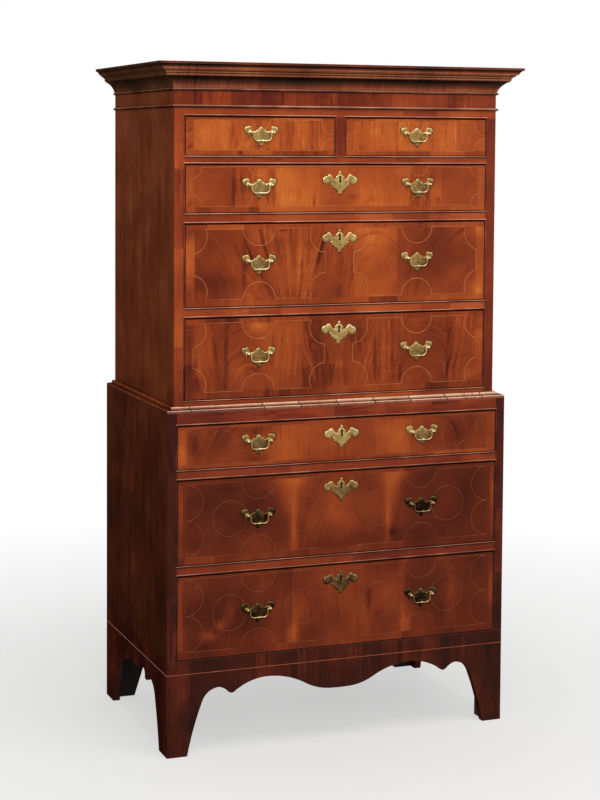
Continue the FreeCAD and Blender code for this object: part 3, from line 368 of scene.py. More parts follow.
CORNICE_STEPS = [
    (0, 0), (0.043, 0.01), (0.17, 0.23, 0.51, 0.455), (0.51, 0.485), (0.54, 0.485), (0.54, 0.585),
    (0.586, 0.585), (0.6, 0.64), (0.655, 0.64), (0.695, 0.67, 0.707, 0.72), (0.8, 0.72),
    (0.845, 0.815, 0.92, 0.875), (0.985, 0.9), (1, 0.91), (1, 1), (0, 1),
]
WAIST_STEPS = [
    (0, 0), (1, 0), (1, 0.3), (0.97, 0.45, 0.86, 0.5), (0.4, 0.52), (0.39, 0.66), (0.2, 1, 0.015, 0.66), (0, 0.66),
]


def arc_points(start, via, end, count=8):
    """Points after start on the arc through three points."""
    first, middle, last = (complex(*point) for point in (start, via, end))
    share = (last - first) / (middle - first)
    centre = first - (first - middle) * (share - abs(share) ** 2) / 2j / share.imag
    sweep = cmath.phase((last - centre) / (first - centre)) % math.tau
    if cmath.phase((middle - centre) / (first - centre)) % math.tau > sweep:
        sweep -= math.tau
    spots = [centre + (first - centre) * cmath.exp(1j * sweep * i / count) for i in range(1, count + 1)]
    return [(spot.real, spot.imag) for spot in spots]


def outline_points(steps, wide, up, down=None):
    """A drawn outline in millimetres: two numbers are a corner, four are an arc by way of the first point."""
    def scaled(u, v):
        return u * wide, v * (up if v > 0 or down is None else down)

    points = [scaled(*steps[0])]
    for step in steps[1:]:
        if len(step) == 4:
            points += arc_points(points[-1], scaled(*step[:2]), scaled(*step[2:]))
        else:
            points.append(scaled(*step))
    return points


def tint(obj, tone, streaks, flames=()):
    """Tones a piece of veneer, with soft lighter or darker flames: (x, z, half width, half height, change)."""
    tones = []
    for loop in obj.data.loops:
        place = obj.data.vertices[loop.vertex_index].co / MM
        tones.append(tone + sum(change * math.exp(-((place.x - x) / wide) ** 2 - ((place.z - z) / high) ** 2)
                                for x, z, wide, high, change in flames))
    for name, values in (("tone", tones), ("streaks", [streaks] * len(tones))):
        attribute = obj.data.attributes.new(name, "FLOAT", "CORNER")
        attribute.data.foreach_set("value", values)


def map_grain(obj, rule):
    """Lays the grain map of a mesh from a rule that turns a point in millimetres into across and along the grain."""
    layer = obj.data.uv_layers.new(name="grain")
    places = [obj.data.vertices[loop.vertex_index].co / MM for loop in obj.data.loops]
    flat = [value * MM for place in places for value in rule(place)]
    layer.data.foreach_set("uv", flat)


@contextlib.contextmanager
def editing(obj):
    """Edit mode on one piece, with all of it selected."""
    select_only(obj)
    bpy.ops.object.mode_set(mode="EDIT")
    bpy.ops.mesh.select_all(action="SELECT")
    yield
    bpy.ops.object.mode_set(mode="OBJECT")


def extruded(name, corners, push):
    """A solid from the corners of a flat outline and the way it is pushed, in millimetres."""
    mesh = bpy.data.meshes.new(name)
    mesh.from_pydata([Vector(corner) * MM for corner in corners], [], [list(range(len(corners)))])
    obj = bpy.data.objects.new(name, mesh)
    bpy.context.scene.collection.objects.link(obj)
    with editing(obj):
        bpy.ops.mesh.extrude_region_move(TRANSFORM_OT_translate={"value": Vector(push) * MM})
        bpy.ops.mesh.select_all(action="SELECT")
        bpy.ops.mesh.normals_make_consistent(inside=False)
        bpy.ops.mesh.select_all(action="DESELECT")
    return obj


def mitre(obj, corner_x, keep):
    """Cuts a length on the 45 degree plane through a front corner of the chest, and closes the cut."""
    with editing(obj):
        bpy.ops.mesh.bisect(plane_co=(corner_x * MM, UPPER_FACE * MM, 0), plane_no=keep, clear_inner=True,
                            use_fill=True)


def smooth(obj, angle):
    """Shades a piece smooth but for edges sharper than an angle in degrees."""
    select_only(obj)
    bpy.ops.object.shade_smooth_by_angle(angle=math.radians(angle))


UPPER_HALF, UPPER_FACE, BACK = 465, -252.5, 310.5
JOINT_TONE = -1.4


def laid_up_moulding(name, node_name, steps, projection, height, bottom, seed, open_by, joints, finishes):
    """A moulding in short lengths round the front and both sides; joints are the share along each run.

    The joints have opened by open_by millimetres and are filled flush with black wax.
    """
    points = outline_points(steps, projection, height)
    rng = random.Random(seed)
    front_shares, side_shares = joints
    reach, front = UPPER_HALF + projection, UPPER_FACE - projection
    lengths = []
    for turn, run_start, run_end, shares in (
            (0, -reach, reach, front_shares), (-1, front, BACK, side_shares), (1, front, BACK, side_shares)):
        places = [run_start + share * (run_end - run_start) for share in shares]
        edges = [run_start] + [place + shift for place in places for shift in (-open_by / 2, open_by / 2)] + [run_end]
        for index, (start, end) in enumerate(zip(edges, edges[1:])):
            obj = extruded("length", [(start, -out, up) for out, up in points], (end - start, 0, 0))
            if turn:
                if turn < 0:
                    obj.data.transform(Matrix.Scale(-1, 4, (1, 0, 0)))
                    obj.data.flip_normals()
                obj.data.transform(Matrix.Translation((turn * UPPER_HALF * MM, 0, bottom * MM))
                                   @ Matrix.Rotation(turn * math.pi / 2, 4, "Z"))
                mitre(obj, turn * UPPER_HALF, (turn, 1, 0))
            else:
                obj.data.transform(Matrix.Translation((0, UPPER_FACE * MM, bottom * MM)))
                mitre(obj, -UPPER_HALF, (1, -1, 0))
                mitre(obj, UPPER_HALF, (-1, -1, 0))
            tint(obj, JOINT_TONE if index % 2 else rng.uniform(-0.06, 0.06), rng.uniform(0.3, 1.2))
            shift = rng.uniform(0, 900)
            run = abs(turn)
            map_grain(obj, lambda p, shift=shift, run=run: (p[run] + shift, p.z - p[1 - run] * 0.5 + shift))
            lengths.append(obj)
    piece = joined(lengths, name)
    smooth(piece, 25)
    for finish in finishes:
        piece.data.materials.append(finish)
    for polygon in piece.data.polygons:
        beside = abs(polygon.center.x) / MM - UPPER_HALF
        polygon.material_index = int(beside > UPPER_FACE - polygon.center.y / MM)
    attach(piece, "case")
    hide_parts(node_name)


MOULDING_WALNUT = ((0.0, "#120A07"), (0.25, "#2E1C13"), (0.45, "#582A18"), (0.62, "#8A3E20"), (0.8, "#B06038"),
                   (1.0, "#D29462"))
PALE_HIGHLIGHT_WALNUT = ((0.0, "#120A07"), (0.25, "#2E1810"), (0.45, "#5C2C1A"), (0.62, "#964A2C"), (0.8, "#CC8A64"),
               (1.0, "#EBC8A6"))
DULL_WALNUT = ((0.0, "#120C07"), (0.3, "#2A1A10"), (0.55, "#4C2E1C"), (0.8, "#724A30"), (1.0, "#96684A"))


def moulding_walnut_painted_light(name, colours, coat, painted_light_by_slope, painted_lines_by_height=()):
    """Cross-grained walnut planed to a moulding and waxed, with painted light: faces are painted lighter or darker by
    how far they look up, as painted highlights on the rounds and painted shade under them, and narrow bands at given
    heights are painted lighter or darker as painted highlights and shade along the fillets.

    painted_light_by_slope has rows of two values of the upward normal and the tone at each. painted_lines_by_height has
    rows of a height in millimetres, half a width and the tone added there.
    """
    finish = walnut(name, "sheet", figure=0.35, streaks=0.4, coat=coat, coat_rough=0.12, colours=colours)
    tree = finish.node_tree
    ramp_input = next(n for n in tree.nodes if n.type == "VALTORGB").inputs["Fac"]
    source = ramp_input.links[0].from_socket
    upward = add(tree, "SeparateXYZ", {0: add(tree, "TexCoord", out="Normal")}, out="Z")
    height = add(tree, "SeparateXYZ", {0: add(tree, "TexCoord", out="Object")}, out="Z")
    parts = [(source, 1.0)]
    for low, high, below, above in painted_light_by_slope:
        parts.append((add(tree, "MapRange", {"Value": upward, "From Min": low, "From Max": high, "To Min": below,
                                             "To Max": above}), 1.0))
    for middle, reach, change in painted_lines_by_height:
        parts.append((add(tree, "Math", {0: height, 1: middle * MM, 2: reach * MM}, operation="COMPARE"), change))
    tree.links.new(weighted(tree, *parts), ramp_input)
    return finish


CASE_JOINT, CORNICE_BOTTOM = 909, 1754
# Painted light on both mouldings: faces that look down are painted darker than faces that look up. The waist's rounds
# are painted pale from a paler ramp and its flat tops dark, as painted highlights and shade. The cornice has a painted
# light line and a painted dark line at its lower fillet, and the sides get the same, weaker.
laid_up_moulding(
    "waist_moulding_lengths", "waist_moulding", WAIST_STEPS, projection=25, height=16, bottom=CASE_JOINT, seed=3,
    open_by=2.8, joints=((0.067, 0.274, 0.38, 0.49, 0.6, 0.71, 0.82, 0.93), (0.2, 0.42, 0.63, 0.82)),
    finishes=(moulding_walnut_painted_light("walnut_waist_moulding_painted_highlights", PALE_HIGHLIGHT_WALNUT, 1.0,
                              ((-0.02, 0.25, 0.52, 0.88), (0.86, 0.95, 0, -0.6))),
              moulding_walnut_painted_light("walnut_waist_moulding_sides", MOULDING_WALNUT, 0.5,
                              ((-0.02, 0.25, 0.4, 0.66), (0.86, 0.95, 0, -0.2)))))
laid_up_moulding(
    "cornice_moulding_lengths", "cornice_moulding", CORNICE_STEPS, projection=58, height=66, bottom=CORNICE_BOTTOM,
    seed=8, open_by=0.6,
    joints=((0.06, 0.17, 0.28, 0.385, 0.5, 0.6, 0.71, 0.82, 0.94), (0.18, 0.4, 0.62, 0.83)),
    finishes=(moulding_walnut_painted_light("walnut_cornice_moulding_painted_light", MOULDING_WALNUT, 0.22,
                              ((-0.85, -0.3, 0.16, 0.82), (-0.2, -0.02, 0, -0.34)),
                              ((1788, 1.9, 0.34), (1791.2, 1.3, -0.12))),
              moulding_walnut_painted_light("walnut_cornice_sides_dull", DULL_WALNUT, 0.1,
                              ((-0.85, -0.3, 0.4, 0.74), (-0.2, -0.02, 0, -0.12)), ((1789.3, 3.2, 0.16),))))
BEAD_WALNUT = ((0.0, "#0C0402"), (0.3, "#2C1008"), (0.55, "#7C3A24"), (0.8, "#BC8062"), (1.0, "#DCAA8E"))


def bead_with_painted_light(name, tone):
    """A small half-round of walnut with painted light: the crest that faces forward and the faces that look up are
    painted pale as a painted highlight, and the faces that look down dark as painted shade. It is toned lighter higher
    up.
    """
    finish, tree = new_finish(name)
    place = add(tree, "TexCoord", out="Object")
    normal = add(tree, "TexCoord", out="Normal")
    level = add(tree, "VectorMath", {0: normal, 1: (1, 1, 0)}, operation="MULTIPLY")
    level = add(tree, "VectorMath", {0: level}, out="Value", operation="LENGTH")
    crest = add(tree, "MapRange", {"Value": level, "From Min": 0.2, "From Max": 0.7})
    upward = add(tree, "SeparateXYZ", {0: normal}, out="Z")
    upward = add(tree, "MapRange", {"Value": upward, "From Min": -0.1, "From Max": 0.5})
    drift = add(tree, "TexNoise", {"Vector": place, "Scale": 14.0, "Detail": 4.0})
    height = add(tree, "SeparateXYZ", {0: place}, out="Z")
    # Painted light: the crest and the upward faces add tone, and the downward faces lose it.
    value = weighted(tree, (crest, 0.14), (upward, 0.44), (drift, 0.7), (height, 0.16), plus=tone - 0.55)
    colour = add(tree, "ValToRGB", {"Fac": value}, stops=BEAD_WALNUT)
    shader = add(tree, "BsdfPrincipled", {"Base Color": colour, "Roughness": 0.4, "Specular IOR Level": 0.0,
                                          "Coat Weight": wax_coat(tree, 0.4, 0.02), "Coat Roughness": 0.2})
    add(tree, "OutputMaterial", {"Surface": shader})
    return finish


finish_node("frieze_beads", bead_with_painted_light("walnut_frieze_beads_waxed", 0.14))
finish_node("drawer_opening_beads", bead_with_painted_light("walnut_beads_painted_highlight", 0.24))

# ------------------------------------------------------------------ veneered front frame
# Stiles, rails and frieze are pine, faced with strips of walnut veneer about a millimetre thick. The rails' grain
# runs along them, the stiles' and the frieze's runs upright, and every strip is pieced from several lengths.

finish_node("lower_front_frame", pine_across)
finish_node("upper_front_frame", pine_across)
VENEER_PROUD = 0.06
VENEER_THICK = 0.5


def primitive(shape, **settings):
    """Adds one of the ready-made mesh shapes."""
    bpy.ops.object.select_all(action="DESELECT")
    getattr(bpy.ops.mesh, f"primitive_{shape}_add")(**settings)
    return bpy.context.view_layer.objects.active


def veneer_leaf(low, high, face, grain, tone, streaks, flames=(), cell=9.0):
    """A toned rectangle of veneer on a plane that faces the front, divided finely enough to carry curved grain."""
    (left, bottom), (right, top) = low, high
    across = max(1, round((right - left) / cell))
    up = max(1, round((top - bottom) / cell))
    leaf = primitive("grid", x_subdivisions=across, y_subdivisions=up, size=1, rotation=(math.pi / 2, 0, 0),
                     location=((left + right) / 2 * MM, face * MM, (bottom + top) / 2 * MM))
    leaf.scale = ((right - left) * MM, (top - bottom) * MM, 1)
    bpy.ops.object.transform_apply(location=True, rotation=True, scale=True)
    map_grain(leaf, grain)
    tint(leaf, tone, streaks, flames)
    return leaf


SEED_ACROSS, SEED_ALONG = 613, 291
FAN_SPREAD, ARCH_SPREAD, ARCH_TURN = 260, 1.3, 150


def straight(angle, seed):
    """Grain in straight lines, turned by an angle from upright."""
    cos, sin = math.cos(math.radians(angle)), math.sin(math.radians(angle))
    return lambda place: (place.x * cos + place.z * sin + seed * SEED_ACROSS,
                          place.z * cos - place.x * sin + seed * SEED_ALONG)


def fan(focus_x, focus_z, seed):
    """Grain that spreads like a feather from a point under the leaf."""
    def rule(place):
        dx, dz = place.x - focus_x, place.z - focus_z
        return abs(math.atan2(dx, dz)) * FAN_SPREAD + seed * SEED_ACROSS, math.hypot(dx, dz) + seed * SEED_ALONG
    return rule


def arches(centre_x, centre_z, narrow, seed):
    """Grain in tall arches, one inside the other, as a slice off the side of a log has."""
    def rule(place):
        dx, dz = (place.x - centre_x) * narrow, place.z - centre_z
        return (math.hypot(dx, dz) * ARCH_SPREAD + seed * SEED_ACROSS,
                math.atan2(dx, dz) * ARCH_TURN + seed * SEED_ALONG)
    return rule


def glue_down(leaves, name, finish, body, holes=()):
    """Joins leaves to one sheet of veneer, cuts holes through it and gives it its thickness, sunk into the wood."""
    sheet = joined(leaves, name)
    for left, right, bottom, top in holes:
        with editing(sheet):
            for point, normal in (((left, 0, 0), (1, 0, 0)), ((right, 0, 0), (1, 0, 0)),
                                  ((0, 0, bottom), (0, 0, 1)), ((0, 0, top), (0, 0, 1))):
                bpy.ops.mesh.select_all(action="SELECT")
                bpy.ops.mesh.bisect(plane_co=Vector(point) * MM, plane_no=normal)
            bpy.ops.mesh.select_all(action="DESELECT")
        for face in sheet.data.polygons:
            x, z = face.center.x / MM, face.center.z / MM
            face.select = left < x < right and bottom < z < top
        bpy.ops.object.mode_set(mode="EDIT")
        bpy.ops.mesh.delete(type="FACE")
        bpy.ops.object.mode_set(mode="OBJECT")
    select_only(sheet)
    thick = sheet.modifiers.new("thickness", "SOLIDIFY")
    thick.thickness = VENEER_THICK * MM
    thick.offset = -1
    bpy.ops.object.modifier_apply(modifier=thick.name)
    sheet.data.materials.append(finish)
    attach(sheet, body)


figured_walnut = walnut("walnut_figured_veneer_polished", "sheet", figure=0.8, streaks=0.8, coat=0.12)
frame_walnut = walnut("walnut_frame_veneer_polished", "sheet", figure=0.6, streaks=0.6, coat=0.15,
                      colours=((0.0, "#260E08"), (0.2, "#4A1B10"), (0.4, "#742B18"), (0.58, "#98401F"),
                               (0.76, "#BC5A2B"), (1.0, "#DC8A4C")))
PIECE_JITTER = 0.07


def pieced_strip(low, high, face, pieces, tone, seed, upright=False):
    """A strip of veneer pieced from several lengths of slightly different tone, its grain along it."""
    rng = random.Random(seed)
    (left, bottom), (right, top) = low, high
    cuts = [0.0] + sorted(i / pieces + rng.uniform(-0.3, 0.3) / pieces for i in range(1, pieces)) + [1.0]
    leaves = []
    for first, last in zip(cuts, cuts[1:]):
        if upright:
            ends = (left, bottom + first * (top - bottom)), (right, bottom + last * (top - bottom))
        else:
            ends = (left + first * (right - left), bottom), (left + last * (right - left), top)
        leaves.append(veneer_leaf(*ends, face, straight(0 if upright else 90, rng.uniform(0, 30)),
                                  tone + rng.uniform(-PIECE_JITTER, PIECE_JITTER), rng.uniform(0.2, 1.0), cell=40))
    return leaves


def block(low, high):
    """A plain box between two corners in millimetres."""
    low, high = Vector(low), Vector(high)
    return settle(primitive("cube", size=1, location=(low + high) / 2 * MM, scale=(high - low) * MM), "block")


LOWER_HALF, LOWER_FACE, LOWER_BOTTOM = 490, -277.5, 256
CORNER_DEEP, CORNER_PROUD, CORNER_THICK = 20, 0.06, 0.42
for name, finish, half_width, face, bottom, top in (
        ("lower_corner_veneer", lower_side_walnut_in_painted_shade, LOWER_HALF, LOWER_FACE, LOWER_BOTTOM, CASE_JOINT),
        ("upper_corner_veneer", side_walnut, UPPER_HALF, UPPER_FACE, CASE_JOINT, CORNICE_BOTTOM)):
    corners = []
    for side in (-1, 1):
        left, right = sorted(side * (half_width + CORNER_PROUD - depth) for depth in (0, CORNER_THICK))
        corners.append(block((left, face, bottom), (right, face + CORNER_DEEP, top)))
    corner_veneer = joined(corners, name)
    corner_veneer.data.materials.append(finish)
    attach(corner_veneer, "case")

# Each row of the rails has its bottom, its top and its tone, from the lowest rail up.
LOWER_OPENING, UPPER_OPENING = 464, 436
LOWER_RAILS = ((481, 507, 0.48), (734, 760, 0.48), (877, CASE_JOINT, 0.43))
UPPER_RAILS = ((925, 938, 0.62), (1155, 1181, 0.6), (1402, 1428, 0.57), (1557, 1578, 0.54))
DIVIDER_HALF, FRIEZE_RAIL, FRIEZE_BOTTOM = 15, 1682, 1703
lower_leaf_face, upper_leaf_face = LOWER_FACE - VENEER_PROUD, UPPER_FACE - VENEER_PROUD
lower_leaves, upper_leaves = [], []
# The upper left stile is toned lighter than the upper right one, as painted light falling from the left.
for side, tone in ((-1, 0.57), (1, 0.37)):
    inner, outer = sorted((side * LOWER_OPENING, side * LOWER_HALF))
    lower_leaves += pieced_strip((inner, LOWER_BOTTOM), (outer, CASE_JOINT), lower_leaf_face, 4, 0.21, 11 + side, True)
    inner, outer = sorted((side * UPPER_OPENING, side * UPPER_HALF))
    upper_leaves += pieced_strip((inner, UPPER_RAILS[0][0]), (outer, FRIEZE_RAIL), upper_leaf_face, 5, tone, 31 + side,
                                 True)
for index, (bottom, top, tone) in enumerate(LOWER_RAILS):
    lower_leaves += pieced_strip((-LOWER_OPENING, bottom), (LOWER_OPENING, top), lower_leaf_face, 9, tone, 20 + index)
for index, (bottom, top, tone) in enumerate(UPPER_RAILS):
    upper_leaves += pieced_strip((-UPPER_OPENING, bottom), (UPPER_OPENING, top), upper_leaf_face, 9, tone, 40 + index)
upper_leaves += pieced_strip((-DIVIDER_HALF, UPPER_RAILS[-1][1]), (DIVIDER_HALF, FRIEZE_RAIL), upper_leaf_face, 1, 0.46,
                             50, True)
upper_leaves += pieced_strip((-UPPER_HALF, FRIEZE_RAIL), (UPPER_HALF, FRIEZE_BOTTOM), upper_leaf_face, 6, 0.57, 51)
rng = random.Random(60)
frieze_edges = [-465, -388, -311, -236, -160, -83, -8, 71, 150, 226, 304, 384, 465]
for left, right in zip(frieze_edges, frieze_edges[1:]):
    upper_leaves.append(veneer_leaf(
        (left, FRIEZE_BOTTOM), (right, CORNICE_BOTTOM), upper_leaf_face,
        straight(rng.uniform(-6, 6), rng.uniform(0, 30)), 0.49 + rng.uniform(-0.08, 0.08), rng.uniform(0.6, 1.6),
        cell=12))
glue_down(lower_leaves, "lower_frame_veneer", frame_walnut, "case")
glue_down(upper_leaves, "upper_frame_veneer", frame_walnut, "case")

# A thin black strip just under the top edge of each rail, below its bead, is a painted shadow of the bead.
SHADOW_LINE_BELOW_EDGE, SHADOW_LINE_WIDTH, SHADOW_LINE_PROUD = 4.3, 1.5, 0.1
painted_bead_shadow = nearly_even("painted_shadow_under_a_bead", ((0.0, "#080403"), (0.5, "#1C0D08"), (1.0, "#3A1D13")), 0.4)
for name, leaf_face, half_width, rails in (
        ("lower_rail_painted_shadows", lower_leaf_face, LOWER_OPENING, LOWER_RAILS[:2]),
        ("upper_rail_painted_shadows", upper_leaf_face, UPPER_OPENING, UPPER_RAILS[1:])):
    shadow_lines = inlaid_lines(name, [level_line(-half_width, half_width, top - SHADOW_LINE_BELOW_EDGE) for _, top, _ in rails],
                          leaf_face, SHADOW_LINE_WIDTH, SHADOW_LINE_PROUD)
    shadow_lines.data.materials.append(painted_bead_shadow)
    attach(shadow_lines, "case")

# ------------------------------------------------------------------ drawer fronts
# Each front is pine faced with figured walnut: bookmatched leaves in the middle and cross-grained bands round the
# edges, with strings of pale boxwood let in between. The upper rows are toned lighter than the lower ones.


def band_pieces(left, right, bottom, top, face, tones, streaks):
    """A band of cross-grained lengths; tones are (share of the run where a length ends, its tone)."""
    start = left
    leaves = []
    for index, (share, tone) in enumerate(tones):
        end = left + share * (right - left)
        leaves.append(veneer_leaf((start, bottom), (end, top), face,
                                  straight(index * 7 % 5 - 2, index * 3.7 + bottom), tone, streaks, cell=12))
        start = end
    return leaves


# The veneer stops short of each front's edges, so the blackened pine front beneath it shows as a painted shadow in the
# gaps round the drawer.
VENEER_INSET_LOW, VENEER_INSET_HIGH = Vector((1.2, 0, 1.5)), Vector((1.2, 0, 2.4))
HOLE_HALF_WIDTH, HOLE_HALF_HEIGHT = 6, 10


def dressed_front(drawer, top_band, bottom_band, end_width, ends, middle, top_tones, bottom_tones, flames=(),
                  keyhole=None):
    """The veneer of one drawer front. middle lists its leaves from the left: (right edge, tone, streaks, grain)."""
    low, high = (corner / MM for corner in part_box(f"{drawer}_front"))
    low, high = low + VENEER_INSET_LOW, high - VENEER_INSET_HIGH
    face = low.y - VENEER_PROUD
    field_bottom, field_top = low.z + bottom_band, high.z - top_band
    band_streaks = middle[0][2] * 0.7
    leaves = band_pieces(low.x, high.x, field_top, high.z, face, top_tones, band_streaks)
    leaves += band_pieces(low.x, high.x, low.z, field_bottom, face, bottom_tones, band_streaks)
    for left, right, tone in ((low.x, low.x + end_width, ends[0]), (high.x - end_width, high.x, ends[1])):
        leaves.append(veneer_leaf((left, field_bottom), (right, field_top), face, straight(90, left * 0.01),
                                  tone, band_streaks, flames))
    start = low.x + end_width
    for end, tone, streaks, grain in middle:
        end = min(end, high.x - end_width)
        leaves.append(veneer_leaf((start, field_bottom), (end, field_top), face, grain, tone, streaks, flames))
        start = end
    holes = []
    if keyhole:
        holes.append((-HOLE_HALF_WIDTH, HOLE_HALF_WIDTH, keyhole - HOLE_HALF_HEIGHT, keyhole + HOLE_HALF_HEIGHT))
    glue_down(leaves, f"{drawer}_veneer", figured_walnut, drawer, holes)


# The pine fronts are painted black where they look forward, as a painted shadow round each drawer.
pine_with_painted_gap_shadow = bare_wood("old_pine_with_painted_gap_shadow", "X",
                       ((0.0, "#060302"), (0.1, "#1C1009")) + PINE[1:], tone=0.45, painted_gap_shadow=True)
for drawer in ("lower_bottom_drawer", "lower_middle_drawer", "lower_top_drawer", "upper_bottom_drawer",
               "upper_middle_drawer", "upper_top_drawer", "left_short_drawer", "right_short_drawer"):
    finish_node(f"{drawer}_front", pine_with_painted_gap_shadow)

OAK = ((0.0, "#4E321B"), (0.4, "#865F38"), (0.7, "#A98050"), (1.0, "#C8A26E"))
oak = bare_wood("oak_quartered_planed", "Y", OAK, tone=0.5, ring=9, rough=0.6)

dressed_front(
    "left_short_drawer", 7, 13, 22, (0.62, 0.6),
    [(-296, 0.74, 0.6, straight(2, 1)), (-174, 0.66, 0.8, straight(-4, 2)), (0, 0.62, 0.9, straight(1, 4))],
    ((0.25, 0.55), (0.58, 0.54), (0.92, 0.66), (1, 0.54)),
    ((0.2, 0.6), (0.34, 0.56), (0.38, 0.42), (0.58, 0.58), (0.95, 0.46), (1, 0.55)),
    ((-305, 1640, 4, 30, -0.22), (-298, 1600, 3, 20, -0.2), (-150, 1630, 6, 60, -0.1), (-375, 1635, 30, 30, 0.08),
     (-425, 1665, 3, 3, -0.3), (-425, 1645, 3, 3, -0.3), (-424, 1600, 4, 4, -0.3), (-208, 1592, 3, 3, -0.3)))
dressed_front(
    "right_short_drawer", 7, 13, 22, (0.58, 0.6),
    [(170, 0.64, 0.8, straight(2, 6)), (245, 0.7, 0.7, straight(-3, 7)), (345, 0.68, 0.9, straight(1, 8)),
     (440, 0.58, 0.7, straight(-2, 10))],
    ((0.2, 0.55), (0.5, 0.62), (0.8, 0.56), (1, 0.54)), ((0.3, 0.56), (0.6, 0.5), (0.85, 0.6), (1, 0.5)),
    ((60, 1600, 20, 16, -0.1), (300, 1640, 14, 60, 0.08), (270, 1630, 4, 60, -0.14), (348, 1660, 3, 3, -0.3)))
dressed_front(
    "upper_top_drawer", 8, 13, 22, (0.58, 0.56),
    [(-301, 0.53, 0.2, arches(-380, 1400, 1.4, 1)), (-188, 0.6, 0.8, straight(3, 2)), (-58, 0.67, 0.6, straight(-2, 3)),
     (58, 0.62, 0.5, arches(0, 1300, 2.4, 4)), (206, 0.64, 0.8, fan(150, 1230, 3)),
     (301, 0.54, 0.6, straight(-5, 5)), (440, 0.5, 0.2, arches(380, 1400, 1.4, 1))],
    ((0.3, 0.55), (0.5, 0.62), (0.75, 0.58), (1, 0.52)),
    ((0.03, 0.56), (0.075, 0.42), (0.2, 0.52), (0.235, 0.42), (0.55, 0.6), (0.8, 0.52), (1, 0.56)),
    ((-188, 1494, 6, 60, -0.2), (-207, 1480, 5, 30, -0.2), (-301, 1494, 2, 60, -0.2), (-420, 1455, 6, 6, -0.24),
     (40, 1468, 14, 6, -0.14), (92, 1465, 12, 4, -0.2), (290, 1460, 5, 5, -0.24)), keyhole=1515.8)
dressed_front(
    "upper_middle_drawer", 14, 15, 24.3, (0.6, 0.56),
    [(-270, 0.45, 0.4, arches(-420, 1190, 1.5, 2)), (-42, 0.52, 1.1, fan(-131, 1090, 5)),
     (42, 0.51, 1.2, fan(0, 1040, 6)), (170, 0.57, 0.5, arches(105, 1215, 1.5, 7)),
     (420, 0.47, 0.4, arches(420, 1150, 1.5, 2))],
    ((0.07, 0.5), (0.185, 0.6), (0.4, 0.5), (0.6, 0.54), (0.8, 0.48), (1, 0.54)),
    ((0.2, 0.5), (0.45, 0.54), (0.6, 0.54), (0.7, 0.38), (0.85, 0.5), (1, 0.54)),
    ((-423, 1293, 14, 50, 0.14), (-423, 1380, 16, 26, -0.16), (-423, 1205, 16, 26, -0.16), (-340, 1250, 70, 30, -0.1),
     (-270, 1290, 4, 90, -0.14), (300, 1290, 60, 90, -0.12), (416, 1384, 16, 22, 0.16), (414, 1212, 16, 26, 0.16),
     (-402, 1212, 30, 16, 0.1), (-330, 1394, 50, 6, 0.14), (96, 1330, 30, 60, 0.1), (130, 1350, 16, 40, 0.08),
     (-100, 1310, 40, 70, 0.06)), keyhole=1360.8)
dressed_front(
    "upper_bottom_drawer", 14, 19, 24.3, (0.46, 0.47),
    [(-321, 0.47, 0.8, straight(8, 3)), (-192, 0.5, 0.6, arches(-260, 930, 1.7, 5)), (-103, 0.53, 0.6, straight(-3, 6)),
     (103, 0.41, 1.0, fan(0, 640, 7)), (192, 0.47, 0.8, straight(3, 6)), (321, 0.47, 0.6, arches(260, 930, 1.7, 5)),
     (440, 0.45, 0.8, straight(-8, 3))],
    ((0.06, 0.5), (0.17, 0.4), (0.4, 0.5), (0.6, 0.44), (0.8, 0.46), (1, 0.46)),
    ((0.3, 0.46), (0.34, 0.36), (0.6, 0.44), (0.8, 0.46), (0.88, 0.36), (1, 0.44)),
    ((-229, 1130, 34, 18, 0.2), (229, 1130, 32, 18, 0.12), (-126, 1046, 2.5, 120, -0.16), (-321, 1046, 2.5, 120, -0.14),
     (-105, 1046, 2.5, 120, -0.12), (-420, 1050, 14, 120, -0.08), (400, 980, 40, 20, 0.12), (424, 1060, 10, 80, 0.14),
     (-150, 1100, 40, 40, 0.06), (-424, 1070, 8, 70, -0.1), (330, 1060, 30, 60, -0.05)),
    keyhole=1113.8)
dressed_front(
    "lower_top_drawer", 8, 9, 25, (0.5, 0.49),
    [(-240, 0.45, 0.35, arches(-240, 740, 1.3, 4)), (-100, 0.51, 0.35, straight(4, 5)),
     (100, 0.49, 0.4, fan(0, 540, 6)), (240, 0.51, 0.35, straight(-4, 5)), (450, 0.45, 0.35, arches(240, 740, 1.3, 4))],
    ((0.2, 0.5), (0.45, 0.46), (0.7, 0.5), (1, 0.46)), ((0.3, 0.48), (0.55, 0.46), (0.8, 0.46), (0.98, 0.56), (1, 0.5)),
    ((-450, 815, 12, 50, 0.16), (-414, 820, 14, 34, -0.14), (-238, 856, 36, 14, -0.15), (-240, 778, 30, 14, -0.16),
     (-160, 818, 46, 60, 0.14), (165, 818, 40, 60, 0.14), (350, 818, 44, 60, -0.06), (0, 818, 60, 40, 0.04)),
    keyhole=835.8)
dressed_front(
    "lower_middle_drawer", 10, 18, 14, (0.36, 0.35),
    [(-139, 0.31, 0.14, arches(-330, 500, 1.2, 6)), (139, 0.35, 0.22, arches(0, 470, 2.2, 8)),
     (460, 0.3, 0.14, arches(330, 500, 1.2, 6))],
    ((0.3, 0.34), (0.5, 0.42), (0.7, 0.42), (1, 0.32)),
    ((0.02, 0.33), (0.11, 0.4), (0.4, 0.34), (0.7, 0.42), (1, 0.32)),
    ((0, 640, 120, 100, 0.13), (-146, 724, 50, 34, 0.26), (-144, 668, 30, 50, 0.2), (-137, 585, 10, 70, 0.24),
     (160, 724, 42, 34, 0.24), (152, 668, 26, 50, 0.2), (141, 585, 9, 70, 0.24), (150, 556, 9, 9, -0.24),
     (-452, 655, 7, 70, 0.18), (454, 655, 6, 60, 0.18), (60, 545, 30, 14, -0.08), (-410, 560, 26, 26, -0.08),
     (-330, 700, 60, 24, -0.05), (-250, 560, 50, 30, 0.05), (-430, 540, 30, 8, 0.1)), keyhole=692.8)
